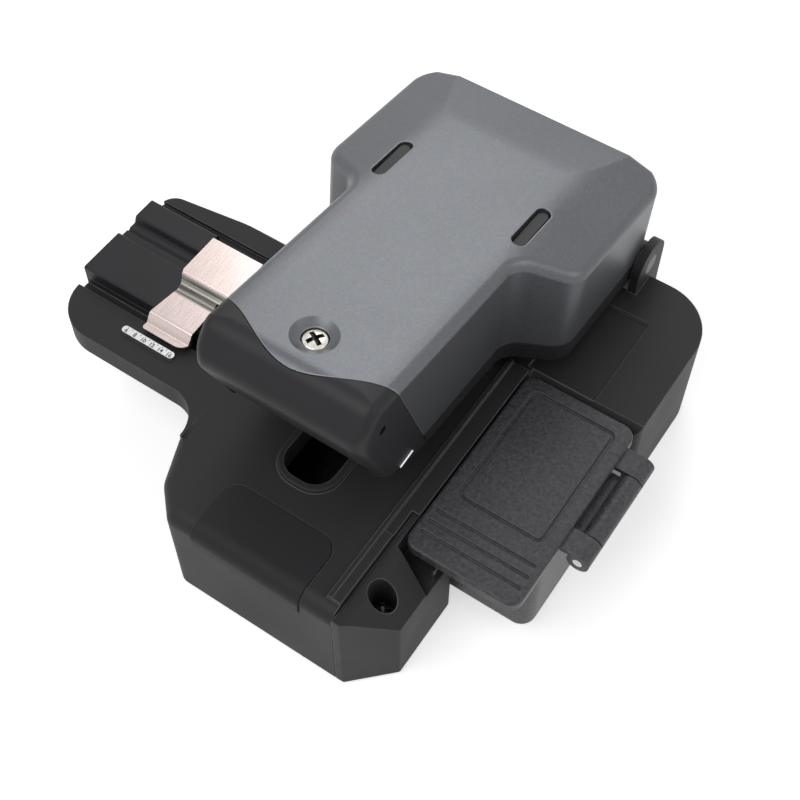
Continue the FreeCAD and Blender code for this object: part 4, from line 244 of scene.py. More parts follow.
# Etch filler: dull black enamel, a little broken up where it has worn.
etch_fill, tree = new_finish("black_etch_filler")
place = add(tree, "ShaderNodeTexCoord").outputs["Object"]
wear = add(tree, "ShaderNodeTexNoise", {"Vector": place, "Scale": 1 / (0.2 * MM), "Detail": 2.0})
shade = add(tree, "ShaderNodeMix", {
    0: wear.outputs[0], 6: linear("101010"), 7: linear("3a3a3c")}, data_type="RGBA")
shader = add(tree, "ShaderNodeBsdfPrincipled", {
    "Base Color": shade.outputs[2], "Roughness": 0.6, "IOR": 1.5})
add(tree, "ShaderNodeOutputMaterial", {"Surface": shader.outputs[0]})

RULE_FIRST = 6
RULE_LAST = 16
RULE_END = 1.0 * MM
FIGURE_HEIGHT = 1.15 * MM
FIGURE_WEIGHT = 0.025 * MM
MARK_THICKNESS = 0.02 * MM
TICK_LENGTH = 0.3 * MM
TICK_WIDTH = 0.12 * MM
FIGURE_EVERY = 2
FIGURE_FOOT = 0.2 * MM
low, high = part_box("ruler")
rule_pitch = (high.x - low.x - 2 * RULE_END) / (RULE_LAST - RULE_FIRST)


def mesh_of(thing, name):
    """Plain mesh object made from any evaluated object, which is then removed."""
    bpy.context.view_layer.update()
    graph = bpy.context.evaluated_depsgraph_get()
    mesh = bpy.data.meshes.new_from_object(thing.evaluated_get(graph), depsgraph=graph)
    bpy.data.objects.remove(thing)
    plain = bpy.data.objects.new(name, mesh)
    bpy.context.scene.collection.objects.link(plain)
    return plain


figures = []
for value in range(RULE_FIRST, RULE_LAST + 1, FIGURE_EVERY):
    words = bpy.data.curves.new("figure", "FONT")
    words.body = str(value)
    words.size = FIGURE_HEIGHT
    words.align_x = "CENTER"
    words.extrude = MARK_THICKNESS
    words.offset = FIGURE_WEIGHT
    figure = bpy.data.objects.new("figure", words)
    bpy.context.scene.collection.objects.link(figure)
    figure = mesh_of(figure, "figure")
    x = low.x + RULE_END + rule_pitch * (value - RULE_FIRST)
    figure.data.transform(Matrix.Translation((x, low.y + FIGURE_FOOT, high.z)))
    figures.append(figure)
marks = figures[0]
with bpy.context.temp_override(active_object=marks, selected_editable_objects=figures):
    bpy.ops.object.join()
marks.name = "scale_figures"
marks.data.materials.clear()
marks.data.materials.append(etch_fill)
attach(marks, "base")

tick_tree = bpy.data.node_groups.new("scale_ticks", "GeometryNodeTree")
face = tick_tree.interface
face.new_socket("Geometry", in_out="INPUT", socket_type="NodeSocketGeometry")
for label in ("Pitch", "Length", "Width", "Thickness"):
    face.new_socket(label, in_out="INPUT", socket_type="NodeSocketFloat")
face.new_socket("Count", in_out="INPUT", socket_type="NodeSocketInt")
face.new_socket("Filler", in_out="INPUT", socket_type="NodeSocketMaterial")
face.new_socket("Geometry", in_out="OUTPUT", socket_type="NodeSocketGeometry")
given = add(tick_tree, "NodeGroupInput").outputs
step = add(tick_tree, "ShaderNodeCombineXYZ", {"X": given["Pitch"]})
row = add(tick_tree, "GeometryNodeMeshLine", {
    "Count": given["Count"], "Offset": step.outputs[0]}, mode="OFFSET")
size = add(tick_tree, "ShaderNodeCombineXYZ", {
    "X": given["Width"], "Y": given["Length"], "Z": given["Thickness"]})
tick = add(tick_tree, "GeometryNodeMeshCube", {"Size": size.outputs[0]})
ticks = add(tick_tree, "GeometryNodeInstanceOnPoints", {
    "Points": row.outputs[0], "Instance": tick.outputs[0]})
real = add(tick_tree, "GeometryNodeRealizeInstances", {0: ticks.outputs[0]})
filled = add(tick_tree, "GeometryNodeSetMaterial", {
    0: real.outputs[0], "Material": given["Filler"]})
add(tick_tree, "NodeGroupOutput", {"Geometry": filled.outputs[0]})


def grow(tree, values, name):
    """Run a Geometry Nodes tree with named inputs and return the plain mesh object."""
    seed = bpy.data.objects.new(name, bpy.data.meshes.new(name))
    bpy.context.scene.collection.objects.link(seed)
    modifier = seed.modifiers.new("grow", "NODES")
    modifier.node_group = tree
    for item in tree.interface.items_tree:
        if item.in_out == "INPUT" and item.name in values:
            modifier[item.identifier] = values[item.name]
    return mesh_of(seed, name)


scale_ticks = grow(tick_tree, {"Pitch": rule_pitch, "Length": TICK_LENGTH, "Width": TICK_WIDTH,
                               "Thickness": 2 * MARK_THICKNESS, "Count": RULE_LAST - RULE_FIRST + 1,
                               "Filler": etch_fill}, "scale_ticks")
scale_ticks.data.transform(Matrix.Translation((low.x + RULE_END, high.y - TICK_LENGTH, high.z)))
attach(scale_ticks, "base")


# --------------------------------------------------------------- leaf clip
# The leaf clip is cut from spring strip and pressed with two beads. Its rolled
# end turns on a steel pin in a pocket of the holder.

# Bright spring strip: rolled along its length, so highlights streak. A band
# across its waist, over the beads, is painted dark and streaked: painted shade.
SHADE_BAND_Y = -5.9 * MM
SHADE_BAND_HALF = 2.1 * MM
SHADE_BAND_FADE = 0.25 * MM
strip, tree = new_finish("bright_spring_strip")
place = add(tree, "ShaderNodeTexCoord").outputs["Object"]
along = add(tree, "ShaderNodeMapping", {"Vector": place, "Scale": (1.0, 0.05, 1.0)})
rolled = add(tree, "ShaderNodeTexNoise", {
    "Vector": along.outputs[0], "Scale": 1 / (0.15 * MM), "Detail": 3.0})
plain = add(tree, "ShaderNodeMix", {
    0: rolled.outputs[0], 6: linear("bfaeaa"), 7: linear("d8cac6")}, data_type="RGBA")
shade_streak_mapping = add(tree, "ShaderNodeMapping", {"Vector": place, "Scale": (0.02, 1.0, 0.02)})
shade_streaks = add(tree, "ShaderNodeTexNoise", {
    "Vector": shade_streak_mapping.outputs[0], "Scale": 1 / (0.45 * MM), "Detail": 2.0})
contrast = add(tree, "ShaderNodeMapRange", {
    "Value": shade_streaks.outputs[0], "From Min": 0.35, "From Max": 0.65})
streaked_shade = add(tree, "ShaderNodeMix", {
    0: contrast.outputs[0], 6: linear("4c4b47"), 7: linear("a09c95")}, data_type="RGBA")
# The band across the waist is painted darker and streaked: painted shade.
along_y = add(tree, "ShaderNodeSeparateXYZ", {"Vector": place}).outputs["Y"]
off_shade_band = add(tree, "ShaderNodeMath", {0: along_y, 1: -SHADE_BAND_Y}, operation="ADD")
off_shade_band = add(tree, "ShaderNodeMath", {0: off_shade_band.outputs[0]}, operation="ABSOLUTE")
in_shade_band = add(tree, "ShaderNodeMapRange", {
    "Value": off_shade_band.outputs[0], "From Min": SHADE_BAND_HALF + SHADE_BAND_FADE,
    "From Max": SHADE_BAND_HALF - SHADE_BAND_FADE})
shade = add(tree, "ShaderNodeMix", {
    0: in_shade_band.outputs[0], 6: plain.outputs[2], 7: streaked_shade.outputs[2]}, data_type="RGBA")
rough = add(tree, "ShaderNodeMapRange", {"Value": rolled.outputs[0], "To Min": 0.16, "To Max": 0.3})
bump = add(tree, "ShaderNodeBump", {
    "Strength": 0.15, "Distance": FINE_RELIEF, "Height": rolled.outputs[0]})
shader = add(tree, "ShaderNodeBsdfPrincipled", {
    "Base Color": shade.outputs[2], "Metallic": 1.0, "Roughness": rough.outputs[0],
    "Normal": bump.outputs[0]})
add(tree, "ShaderNodeOutputMaterial", {"Surface": shader.outputs[0]})
dress(["clip_leaf", "bin_catch"], strip)

# Ground steel: turned pins and shafts with faint rings.
ground, tree = new_finish("ground_steel")
place = add(tree, "ShaderNodeTexCoord").outputs["Object"]
rings = add(tree, "ShaderNodeTexNoise", {"Vector": place, "Scale": 1 / (0.2 * MM), "Detail": 3.0})
shade = add(tree, "ShaderNodeMix", {
    0: rings.outputs[0], 6: linear("b2b4b6"), 7: linear("d0d1d2")}, data_type="RGBA")
rough = add(tree, "ShaderNodeMapRange", {"Value": rings.outputs[0], "To Min": 0.2, "To Max": 0.32})
shader = add(tree, "ShaderNodeBsdfPrincipled", {
    "Base Color": shade.outputs[2], "Metallic": 1.0, "Roughness": rough.outputs[0]})
add(tree, "ShaderNodeOutputMaterial", {"Surface": shader.outputs[0]})
dress(["clip_pin", "lid_pin", "nose_pin", "guide_pins", "spring_post"], ground)

# Black-oxide steel: blued by the bath, so it is dark and oily with a dull gloss.
# It also darkens the screw crosses as painted shade in the recess.
oxide_and_recess_shade, tree = new_finish("black_oxide_steel_and_recess_shade")
place = add(tree, "ShaderNodeTexCoord").outputs["Object"]
bath = add(tree, "ShaderNodeTexNoise", {"Vector": place, "Scale": 1 / (0.4 * MM), "Detail": 3.0})
shade = add(tree, "ShaderNodeMix", {
    0: bath.outputs[0], 6: linear("343436"), 7: linear("4b4b4e")}, data_type="RGBA")
rough = add(tree, "ShaderNodeMapRange", {"Value": bath.outputs[0], "To Min": 0.3, "To Max": 0.5})
shader = add(tree, "ShaderNodeBsdfPrincipled", {
    "Base Color": shade.outputs[2], "Metallic": 1.0, "Roughness": rough.outputs[0]})
add(tree, "ShaderNodeOutputMaterial", {"Surface": shader.outputs[0]})
dress(["hinge_shaft"], oxide_and_recess_shade)


# ----------------------------------------------------------- fibre clamps
# Machined blocks let into the deck, and the sprung carrier above them. They
# are anodised dark so that the fibre stands out against them.

# Anodised aluminium: bead-blasted first, so it is metallic but matt.
anodised, tree = new_finish("anodised_aluminium")
place = add(tree, "ShaderNodeTexCoord").outputs["Object"]
blast = add(tree, "ShaderNodeTexNoise", {"Vector": place, "Scale": 1 / (0.2 * MM), "Detail": 3.0})
shade = add(tree, "ShaderNodeMix", {
    0: blast.outputs[0], 6: linear("3f4145"), 7: linear("54565a")}, data_type="RGBA")
bump = add(tree, "ShaderNodeBump", {
    "Strength": 0.2, "Distance": SKIN_RELIEF, "Height": blast.outputs[0]})
shader = add(tree, "ShaderNodeBsdfPrincipled", {
    "Base Color": shade.outputs[2], "Metallic": 0.85, "Roughness": 0.42, "Normal": bump.outputs[0]})
add(tree, "ShaderNodeOutputMaterial", {"Surface": shader.outputs[0]})
dress([
    "clamp_block_left", "clamp_block_right", "clamp_carrier", "anvil_holder",
    "blade_holder"], anodised)

# Spring wire: oil-tempered, darker and smoother than the plated parts.
wire, tree = new_finish("tempered_spring_wire")
place = add(tree, "ShaderNodeTexCoord").outputs["Object"]
drawn = add(tree, "ShaderNodeTexNoise", {"Vector": place, "Scale": 1 / (0.5 * MM), "Detail": 2.0})
shade = add(tree, "ShaderNodeMix", {
    0: drawn.outputs[0], 6: linear("85888a"), 7: linear("a9acae")}, data_type="RGBA")
shader = add(tree, "ShaderNodeBsdfPrincipled", {
    "Base Color": shade.outputs[2], "Metallic": 1.0, "Roughness": 0.3})
add(tree, "ShaderNodeOutputMaterial", {"Surface": shader.outputs[0]})
dress(["carriage_spring", "clamp_spring_left", "clamp_spring_right", "hinge_spring"], wire)

# Each coil is a copy of its CAD node, which is then hidden. The carriage's coil
# lies along the rail, and the clamp's two stand square to the leaning lever.
LEVER_LEAN = math.radians(-6.0)
ALONG_RAIL = Vector((0.0, 1.0, 0.0))
OUT_OF_LEVER = Vector((0.0, math.sin(LEVER_LEAN), -math.cos(LEVER_LEAN)))
for node, fixed, moving, way in (
        ("carriage_spring", "base", "blade_carriage", ALONG_RAIL),
        ("clamp_spring_left", "lever", "upper_clamp", OUT_OF_LEVER),
        ("clamp_spring_right", "lever", "upper_clamp", OUT_OF_LEVER)):
    coil = bpy.data.objects.new(node + "_coil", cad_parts[node].data.copy())
    bpy.context.scene.collection.objects.link(coil)
    reaches = [vertex.co.dot(way) for vertex in coil.data.vertices]
    middle = sum((vertex.co for vertex in coil.data.vertices), Vector()) / len(reaches)
    middle -= way * middle.dot(way)
    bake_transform(coil)
    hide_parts(node)


# ------------------------------------------------- guide rail and carriage
# A hardened linear rail in the cavity and the slider that runs on it. The
# slider carries the bracket that the round blade turns on.

# Hardened rail steel: ground in one direction.
rail_steel, tree = new_finish("hardened_rail_steel")
place = add(tree, "ShaderNodeTexCoord").outputs["Object"]
along = add(tree, "ShaderNodeMapping", {"Vector": place, "Scale": (1.0, 0.05, 1.0)})
grind = add(tree, "ShaderNodeTexNoise", {
    "Vector": along.outputs[0], "Scale": 1 / (0.12 * MM), "Detail": 2.0})
shade = add(tree, "ShaderNodeMix", {
    0: grind.outputs[0], 6: linear("97999c"), 7: linear("b8babc")}, data_type="RGBA")
shader = add(tree, "ShaderNodeBsdfPrincipled", {
    "Base Color": shade.outputs[2], "Metallic": 1.0, "Roughness": 0.28})
add(tree, "ShaderNodeOutputMaterial", {"Surface": shader.outputs[0]})
dress(["guide_rail", "carriage"], rail_steel)

# Lapped tungsten carbide: dark, dense metal with a fine circular lap.
carbide, tree = new_finish("lapped_tungsten_carbide")
place = add(tree, "ShaderNodeTexCoord").outputs["Object"]
lap = add(tree, "ShaderNodeTexNoise", {"Vector": place, "Scale": 1 / (0.3 * MM), "Detail": 3.0})
shade = add(tree, "ShaderNodeMix", {
    0: lap.outputs[0], 6: linear("7c7f82"), 7: linear("969a9d")}, data_type="RGBA")
shader = add(tree, "ShaderNodeBsdfPrincipled", {
    "Base Color": shade.outputs[2], "Metallic": 1.0, "Roughness": 0.2})
add(tree, "ShaderNodeOutputMaterial", {"Surface": shader.outputs[0]})
dress(["blade"], carbide)


# -------------------------------------------------------------- lever cover
# The lever's cover is cast in aluminium and sprayed a satin metallic grey.
# It carries two oblong slots with dark inserts that stand clear of the walls.

# Metallic spray paint: mid grey, aluminium flake under a satin clear coat. The edges
# are painted paler as a painted highlight.
FLAKE = 0.28
metallic_paint, tree = new_finish("metallic_spray_paint")
place = add(tree, "ShaderNodeTexCoord").outputs["Object"]
flake = add(tree, "ShaderNodeTexVoronoi", {"Vector": place, "Scale": 1 / (FLAKE * MM)})
cloud = add(tree, "ShaderNodeTexNoise", {"Vector": place, "Scale": 1 / (18.0 * MM), "Detail": 3.0})
grit = add(tree, "ShaderNodeTexNoise", {"Vector": place, "Scale": 1 / (0.5 * MM), "Detail": 3.0})
soft = add(tree, "ShaderNodeBevel", {"Radius": 0.35 * MM}, samples=EDGE_SAMPLES)
shade = add(tree, "ShaderNodeMix", {
    0: cloud.outputs[0], 6: linear("626468"), 7: linear("6c6e72")}, data_type="RGBA")
sparkle = add(tree, "ShaderNodeMix", {
    0: 0.12, 6: shade.outputs[2],
    7: flake.outputs["Color"]}, data_type="RGBA", blend_type="SOFT_LIGHT")
true_normal = add(tree, "ShaderNodeNewGeometry").outputs["Normal"]
facing = add(tree, "ShaderNodeVectorMath", {
    0: soft.outputs[0], 1: true_normal}, operation="DOT_PRODUCT")
edge = add(tree, "ShaderNodeMapRange", {
    "Value": facing.outputs["Value"], "From Min": 0.995, "From Max": 0.93, "To Min": 0.0,
    "To Max": 0.7})
# The edges are painted paler: a painted highlight.
edge_highlight = add(tree, "ShaderNodeMix", {
    0: edge.outputs[0], 6: sparkle.outputs[2], 7: linear("a4a5a8")}, data_type="RGBA")
bump = add(tree, "ShaderNodeBump", {
    "Strength": 0.18, "Distance": SKIN_RELIEF, "Height": grit.outputs[0],
    "Normal": soft.outputs[0]})
shader = add(tree, "ShaderNodeBsdfPrincipled", {
    "Base Color": edge_highlight.outputs[2], "Metallic": 0.6, "Roughness": 0.38, "Normal": bump.outputs[0],
    "Specular IOR Level": 0.25})
add(tree, "ShaderNodeOutputMaterial", {"Surface": shader.outputs[0]})
dress(["lever_cover"], metallic_paint)

# Moulded insert: dark grey ABS without flake, so it looks flat beside the paint.
insert_grey, tree = new_finish("moulded_abs_insert")
place = add(tree, "ShaderNodeTexCoord").outputs["Object"]
grain = add(tree, "ShaderNodeTexNoise", {"Vector": place, "Scale": 1 / (0.3 * MM), "Detail": 3.0})
shade = add(tree, "ShaderNodeMix", {
    0: grain.outputs[0], 6: linear("2a2a2c"), 7: linear("343437")}, data_type="RGBA")
bump = add(tree, "ShaderNodeBump", {
    "Strength": 0.2, "Distance": SKIN_RELIEF, "Height": grain.outputs[0]})
shader = add(tree, "ShaderNodeBsdfPrincipled", {
    "Base Color": shade.outputs[2], "Roughness": 0.5, "Normal": bump.outputs[0], "IOR": 1.5,
    "Specular IOR Level": 0.3})
add(tree, "ShaderNodeOutputMaterial", {"Surface": shader.outputs[0]})

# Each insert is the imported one, narrowed so that a dark joint runs round it.
INSERT_GAP = 0.35 * MM
for side in ("left", "right"):
    node = "slot_insert_" + side
    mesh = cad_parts[node].data.copy()
    upright = Matrix.Rotation(LEVER_LEAN, 4, "X")
    mesh.transform(upright.inverted())
    across = [vertex.co.x for vertex in mesh.vertices]
    along = [vertex.co.y for vertex in mesh.vertices]
    centre = ((min(across) + max(across)) / 2, (min(along) + max(along)) / 2, 0.0)
    middle = Matrix.Translation(centre)
    narrower = 1 - 2 * INSERT_GAP / (max(across) - min(across))
    shorter = 1 - 2 * INSERT_GAP / (max(along) - min(along))
    fitted = Matrix.Diagonal((narrower, shorter, 1.0, 1.0))
    mesh.transform(upright @ middle @ fitted @ middle.inverted())
    mesh.materials.clear()
    mesh.materials.append(insert_grey)
    insert = bpy.data.objects.new(node + "_fitted", mesh)
    bpy.context.scene.collection.objects.link(insert)
    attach(insert, "lever")
    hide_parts(node)


# --------------------------------------------------------------- steel arm
# A folded and plated steel channel runs inside the lever from the nose pin
# to the hinge, where it turns between washers. A thin plated strip laid on
# the nose's lower right edge stands in for a glint there: a painted highlight.

# Bright nickel plate over stamped steel.
plated, tree = new_finish("nickel_plated_steel")
place = add(tree, "ShaderNodeTexCoord").outputs["Object"]
stamp = add(tree, "ShaderNodeTexNoise", {"Vector": place, "Scale": 1 / (0.7 * MM), "Detail": 3.0})
shade = add(tree, "ShaderNodeMix", {
    0: stamp.outputs[0], 6: linear("b8babc"), 7: linear("d6d7d8")}, data_type="RGBA")
rough = add(tree, "ShaderNodeMapRange", {"Value": stamp.outputs[0], "To Min": 0.18, "To Max": 0.34})
shader = add(tree, "ShaderNodeBsdfPrincipled", {
    "Base Color": shade.outputs[2], "Metallic": 1.0, "Roughness": rough.outputs[0]})
add(tree, "ShaderNodeOutputMaterial", {"Surface": shader.outputs[0]})
dress(["lever_arm"], plated)

# The thin plated strip that gives the painted highlight on the nose's lower edge, from front to rear,
# in millimetres.
GLINT_STRIP_FRONT = (16.55, -19.6, 35.75)
GLINT_STRIP_REAR = (16.55, -15.9, 36.1)
GLINT_STRIP_RADIUS = 0.3 * MM
rim = bpy.data.curves.new("glint_strip", "CURVE")
rim.dimensions = "3D"
rim.bevel_depth = GLINT_STRIP_RADIUS
rim.bevel_resolution = 3
rim.use_fill_caps = True
run = rim.splines.new("POLY")
run.points.add(1)
for point, corner in zip(run.points, (GLINT_STRIP_FRONT, GLINT_STRIP_REAR)):
    point.co = (*(Vector(corner) * MM), 1.0)
glint_strip = bpy.data.objects.new("glint_strip", rim)
bpy.context.scene.collection.objects.link(glint_strip)
glint_strip = mesh_of(glint_strip, "glint_strip")
glint_strip.data.materials.append(plated)
glint_strip.data.shade_smooth()
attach(glint_strip, "lever")

# Natural acetal washers: creamy white, waxy.
acetal, tree = new_finish("natural_acetal")
place = add(tree, "ShaderNodeTexCoord").outputs["Object"]
grain = add(tree, "ShaderNodeTexNoise", {"Vector": place, "Scale": 1 / (0.5 * MM), "Detail": 2.0})
shade = add(tree, "ShaderNodeMix", {
    0: grain.outputs[0], 6: linear("cfcfca"), 7: linear("dadad5")}, data_type="RGBA")
shader = add(tree, "ShaderNodeBsdfPrincipled", {
    "Base Color": shade.outputs[2], "Roughness": 0.35, "IOR": 1.48})
add(tree, "ShaderNodeOutputMaterial", {"Surface": shader.outputs[0]})
dress(["hinge_washers"], acetal)


# -------------------------------------------------------- cross-head screws
# The screw in the lever's dish and the one down the housing's deep hole: low
# domed heads with a tapered cross. The first is nickel plated and the second
# black, and both crosses are painted dark as painted shade in the recess.

# Bright nickel: warm white metal, polished by the plating bath.
nickel, tree = new_finish("bright_nickel_plate")
place = add(tree, "ShaderNodeTexCoord").outputs["Object"]
haze = add(tree, "ShaderNodeTexNoise", {"Vector": place, "Scale": 1 / (0.6 * MM), "Detail": 3.0})
shade = add(tree, "ShaderNodeMix", {
    0: haze.outputs[0], 6: linear("c9c6bc"), 7: linear("e6e4dc")}, data_type="RGBA")
rough = add(tree, "ShaderNodeMapRange", {"Value": haze.outputs[0], "To Min": 0.15, "To Max": 0.3})
shader = add(tree, "ShaderNodeBsdfPrincipled", {
    "Base Color": shade.outputs[2], "Metallic": 1.0, "Roughness": rough.outputs[0]})
add(tree, "ShaderNodeOutputMaterial", {"Surface": shader.outputs[0]})

COVER_SCREW_TURN = math.radians(62)
HOUSING_SCREW_TURN = math.radians(35)
HEAD_RADIUS = 2.25 * MM
HEAD_HEIGHT = 1.4 * MM
HEAD_DOME = 0.5 * MM
HEAD_ROLL = 0.3 * MM
SHANK_RADIUS = 1.25 * MM
CROSS_REACH = 1.55 * MM
CROSS_HALF = 0.40 * MM
CROSS_DEPTH = 1.0 * MM
CROSS_WALL = 0.10 * MM
HEAD_SECTORS = 160
HEAD_RINGS = 42


def cross_depth(u, v):
    """Depth of the tapered cross recess at a place on the head."""
    depth = 0.0
    for long, short in ((abs(u), abs(v)), (abs(v), abs(u))):
        if long < CROSS_REACH:
            side = min(1.0, max(0.0, (CROSS_HALF - short) / CROSS_WALL))
            depth = max(depth, side * CROSS_DEPTH * (1 - (long / CROSS_REACH) ** 2) ** 0.5)
    return depth


def cross_screw(node, lean, turn, finish):
    """Domed screw with a cross recess in place of a CAD screw that leans back about X."""
    upright = Matrix.Rotation(lean, 4, "X")
    points = [upright.inverted() @ vertex.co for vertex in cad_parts[node].data.vertices]
    top = max(point.z for point in points)
    foot = min(point.z for point in points)
    middle_x = (max(point.x for point in points) + min(point.x for point in points)) / 2
    middle_y = (max(point.y for point in points) + min(point.y for point in points)) / 2
    rings = []
    for ring in range(1, HEAD_RINGS + 1):
        radius = HEAD_RADIUS * ring / HEAD_RINGS
        over = max(0.0, radius - HEAD_RADIUS + HEAD_ROLL) / HEAD_ROLL
        dome = HEAD_DOME * (radius / HEAD_RADIUS) ** 2 + HEAD_ROLL * (1 - (1 - over ** 2) ** 0.5)
        rings.append((radius, top - dome, 1))
    under_head = top - HEAD_HEIGHT
    rings += [(HEAD_RADIUS, under_head, 0), (SHANK_RADIUS, under_head, 0), (SHANK_RADIUS, foot, 0)]
    vertices = [(middle_x, middle_y, top - CROSS_DEPTH)]
    for radius, height, crossed in rings:
        for sector in range(HEAD_SECTORS):
            angle = 2 * math.pi * sector / HEAD_SECTORS
            u, v = radius * math.cos(angle - turn), radius * math.sin(angle - turn)
            vertices.append((middle_x + radius * math.cos(angle), middle_y + radius * math.sin(angle),
                             height - crossed * cross_depth(u, v)))
    vertices.append((middle_x, middle_y, foot))
    faces = []
    for sector in range(HEAD_SECTORS):
        after = (sector + 1) % HEAD_SECTORS
        faces.append((0, 1 + sector, 1 + after))
        for ring in range(len(rings) - 1):
            inner = 1 + ring * HEAD_SECTORS
            faces.append((inner + sector, inner + HEAD_SECTORS + sector, inner + HEAD_SECTORS + after,
                          inner + after))
        last = 1 + (len(rings) - 1) * HEAD_SECTORS
        faces.append((last + sector, len(vertices) - 1, last + after))
    mesh = bpy.data.meshes.new(node + "_head")
    mesh.from_pydata(vertices, [], faces)
    mesh.materials.append(finish)
    mesh.materials.append(oxide_and_recess_shade)
    # Faces in the cross take the dark oxide finish: painted shade in the recess.
    for polygon in mesh.polygons:
        u = polygon.center.x - middle_x
        v = polygon.center.y - middle_y
        along = u * math.cos(turn) + v * math.sin(turn)
        across = v * math.cos(turn) - u * math.sin(turn)
        on_head = polygon.center.z > under_head + CROSS_WALL
        polygon.material_index = int(on_head and cross_depth(along, across) > 0.0)
    mesh.transform(upright)
    mesh.shade_smooth()
    screw = bpy.data.objects.new(node + "_head", mesh)
    bpy.context.scene.collection.objects.link(screw)
    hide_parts(node)
    return screw


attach(cross_screw("cover_screw", LEVER_LEAN, COVER_SCREW_TURN, nickel), "lever")
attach(cross_screw("housing_screw", 0.0, HOUSING_SCREW_TURN, oxide_and_recess_shade), "base")


# --------------------------------------------------------------- waste bin
# A moulded drawer with a lid that turns on a pin at its right-hand edge. The
# lid has three finger ridges and a framed panel.

# Textured ABS: dark, very slightly warm grey, with a leathery mould texture and
# a painted highlight along the edges.
PEBBLE = 0.55
textured_abs, tree = new_finish("textured_abs_moulding")
place = add(tree, "ShaderNodeTexCoord").outputs["Object"]
pebble = add(tree, "ShaderNodeTexVoronoi", {
    "Vector": place, "Scale": 1 / (PEBBLE * MM)}, feature="SMOOTH_F1")
grain = add(tree, "ShaderNodeTexNoise", {"Vector": place, "Scale": 1 / (0.2 * MM), "Detail": 3.0})
height = add(tree, "ShaderNodeMath", {
    0: pebble.outputs["Distance"], 1: grain.outputs[0]}, operation="ADD")
soft = add(tree, "ShaderNodeBevel", {"Radius": 0.3 * MM}, samples=EDGE_SAMPLES)
fleck = add(tree, "ShaderNodeTexNoise", {"Vector": place, "Scale": 1 / (0.7 * MM), "Detail": 4.0})
spread = add(tree, "ShaderNodeMapRange", {
    "Value": fleck.outputs[0], "From Min": 0.3, "From Max": 0.7})
shade = add(tree, "ShaderNodeMix", {
    0: spread.outputs[0], 6: linear("29272b"), 7: linear("4a484c")}, data_type="RGBA")
true_normal = add(tree, "ShaderNodeNewGeometry").outputs["Normal"]
facing = add(tree, "ShaderNodeVectorMath", {
    0: soft.outputs[0], 1: true_normal}, operation="DOT_PRODUCT")
edge = add(tree, "ShaderNodeMapRange", {
    "Value": facing.outputs["Value"], "From Min": 0.99, "From Max": 0.86, "To Min": 0.0,
    "To Max": 0.6})
# The edges are painted paler: a painted highlight.
edge_highlit = add(tree, "ShaderNodeMix", {
    0: edge.outputs[0], 6: shade.outputs[2], 7: linear("6e6c70")}, data_type="RGBA")
bump = add(tree, "ShaderNodeBump", {
    "Strength": 0.8, "Distance": 0.07 * MM, "Height": height.outputs[0], "Normal": soft.outputs[0]})
shader = add(tree, "ShaderNodeBsdfPrincipled", {
    "Base Color": edge_highlit.outputs[2], "Roughness": 0.40, "Normal": bump.outputs[0], "IOR": 1.5,
    "Specular IOR Level": 0.4})
add(tree, "ShaderNodeOutputMaterial", {"Surface": shader.outputs[0]})
dress(["bin_box", "bin_lid"], textured_abs)


# ------------------------------------------------------------ floor and light
# A plain white table under a softbox behind the left shoulder, a key lamp in
# front and a broad fill further off at the right.

FLOOR_HALF = 1.5
GLOW_NEAR = 0.15
GLOW_FAR = 0.7
floor_white, tree = new_finish("white_table_laminate")
path = add(tree, "ShaderNodeLightPath").outputs
seen = add(tree, "ShaderNodeMath", {
    0: path["Is Camera Ray"], 1: path["Is Glossy Ray"]}, operation="MAXIMUM")
seen = add(tree, "ShaderNodeMath", {
    0: seen.outputs[0], 1: path["Is Transmission Ray"]}, operation="MAXIMUM")
matt = add(tree, "ShaderNodeBsdfDiffuse", {"Color": linear("f2f2f2")})
place = add(tree, "ShaderNodeTexCoord").outputs["Object"]
reach = add(tree, "ShaderNodeVectorMath", {0: place}, operation="LENGTH")
even = add(tree, "ShaderNodeMapRange", {
    "Value": reach.outputs["Value"], "From Min": GLOW_NEAR, "From Max": GLOW_FAR, "To Min": 0.60,
    "To Max": 0.85})
glow = add(tree, "ShaderNodeEmission", {"Color": (1.0, 1.0, 1.0, 1.0), "Strength": even.outputs[0]})
lit = add(tree, "ShaderNodeAddShader", {0: matt.outputs[0], 1: glow.outputs[0]})
either = add(tree, "ShaderNodeMixShader", {
    0: seen.outputs[0], 1: matt.outputs[0], 2: lit.outputs[0]})
add(tree, "ShaderNodeOutputMaterial", {"Surface": either.outputs[0]})
floor_mesh = bpy.data.meshes.new("table_top")
corners = [(-FLOOR_HALF, -FLOOR_HALF, 0), (FLOOR_HALF, -FLOOR_HALF, 0), (FLOOR_HALF, FLOOR_HALF, 0),
           (-FLOOR_HALF, FLOOR_HALF, 0)]
floor_mesh.from_pydata(corners, [], [(0, 1, 2, 3)])
floor_mesh.materials.append(floor_white)
table_top = bpy.data.objects.new("table_top", floor_mesh)
bpy.context.scene.collection.objects.link(table_top)

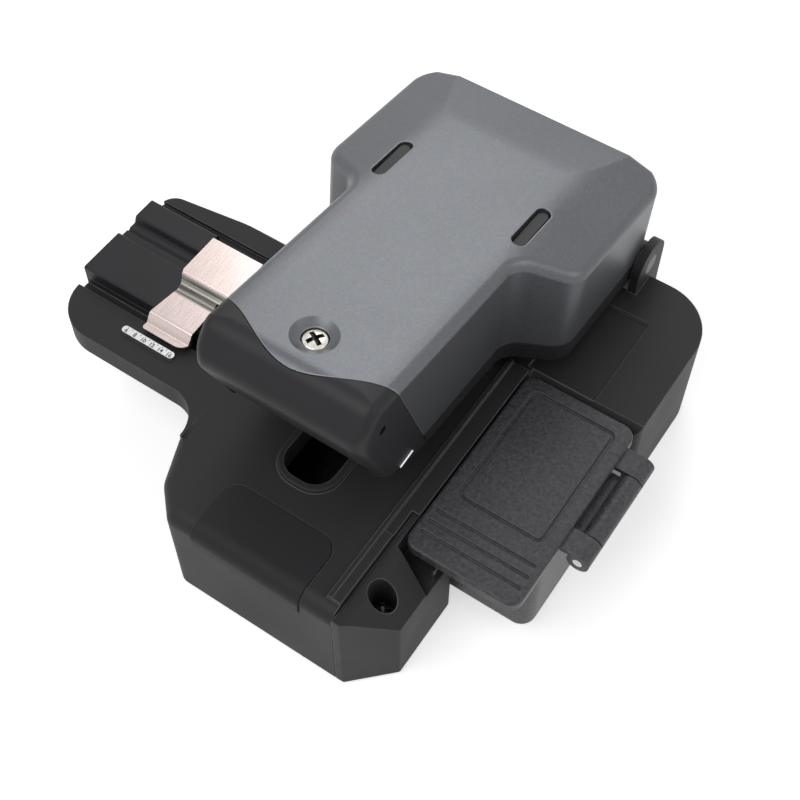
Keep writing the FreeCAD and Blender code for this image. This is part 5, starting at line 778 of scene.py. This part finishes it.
world = bpy.data.worlds.new("studio")
world.use_nodes = True
tree = world.node_tree
tree.nodes.clear()
path = add(tree, "ShaderNodeLightPath").outputs
room = add(tree, "ShaderNodeBackground", {"Color": linear("ffffff"), "Strength": 0.22})
backdrop = add(tree, "ShaderNodeBackground", {"Color": linear("ffffff"), "Strength": 1.0})
seen = add(tree, "ShaderNodeMath", {
    0: path["Is Camera Ray"], 1: path["Is Glossy Ray"]}, operation="MAXIMUM")
seen = add(tree, "ShaderNodeMath", {
    0: seen.outputs[0], 1: path["Is Transmission Ray"]}, operation="MAXIMUM")
either = add(tree, "ShaderNodeMixShader", {
    0: seen.outputs[0], 1: room.outputs[0], 2: backdrop.outputs[0]})
add(tree, "ShaderNodeOutputWorld", {"Surface": either.outputs[0]})
bpy.context.scene.world = world

# Each lamp: its name, where it stands, its side in metres and its power in watts.
LAMPS = (
    ("softbox_behind", (-0.14, 0.31, 0.34), 0.24, 0.50),
    ("key_front", (-0.06, -0.20, 0.34), 0.25, 0.55),
    ("fill_right", (0.55, 0.10, 0.45), 0.40, 0.70),
)
for name, stand, side, power in LAMPS:
    lamp = bpy.data.lights.new(name, "AREA")
    lamp.size = side
    lamp.energy = power
    lamp_object = bpy.data.objects.new(name, lamp)
    lamp_object.location = stand
    lamp_object.rotation_mode = "QUATERNION"
    lamp_object.rotation_quaternion = Vector(stand).to_track_quat("Z", "Y")
    bpy.context.scene.collection.objects.link(lamp_object)


# ------------------------------------------------------------------- camera
# A short telephoto from the front right, well above the table.

LOOK_AT = Vector((5.5, -3.0, 25.8)) * MM
DISTANCE = 0.250
AZIMUTH = math.radians(33.7)
ELEVATION = math.radians(56.46)
ROLL = math.radians(0.21)
LENS = 63.0
SENSOR = 36.0
NEAREST = 0.005
FURTHEST = 10.0
camera_data = bpy.data.cameras.new("camera")
camera_data.lens = LENS
camera_data.sensor_width = SENSOR
camera_data.clip_start = NEAREST
camera_data.clip_end = FURTHEST
camera = bpy.data.objects.new("camera", camera_data)
level = math.cos(ELEVATION)
back = Vector((math.sin(AZIMUTH) * level, -math.cos(AZIMUTH) * level, math.sin(ELEVATION)))
camera.location = LOOK_AT + back * DISTANCE
camera.rotation_mode = "QUATERNION"
rolled_by = Matrix.Rotation(ROLL, 3, "Z").to_quaternion()
camera.rotation_quaternion = (-back).to_track_quat("-Z", "Y") @ rolled_by
bpy.context.scene.collection.objects.link(camera)
bpy.context.scene.camera = camera

bpy.context.scene.view_settings.view_transform = "Standard"
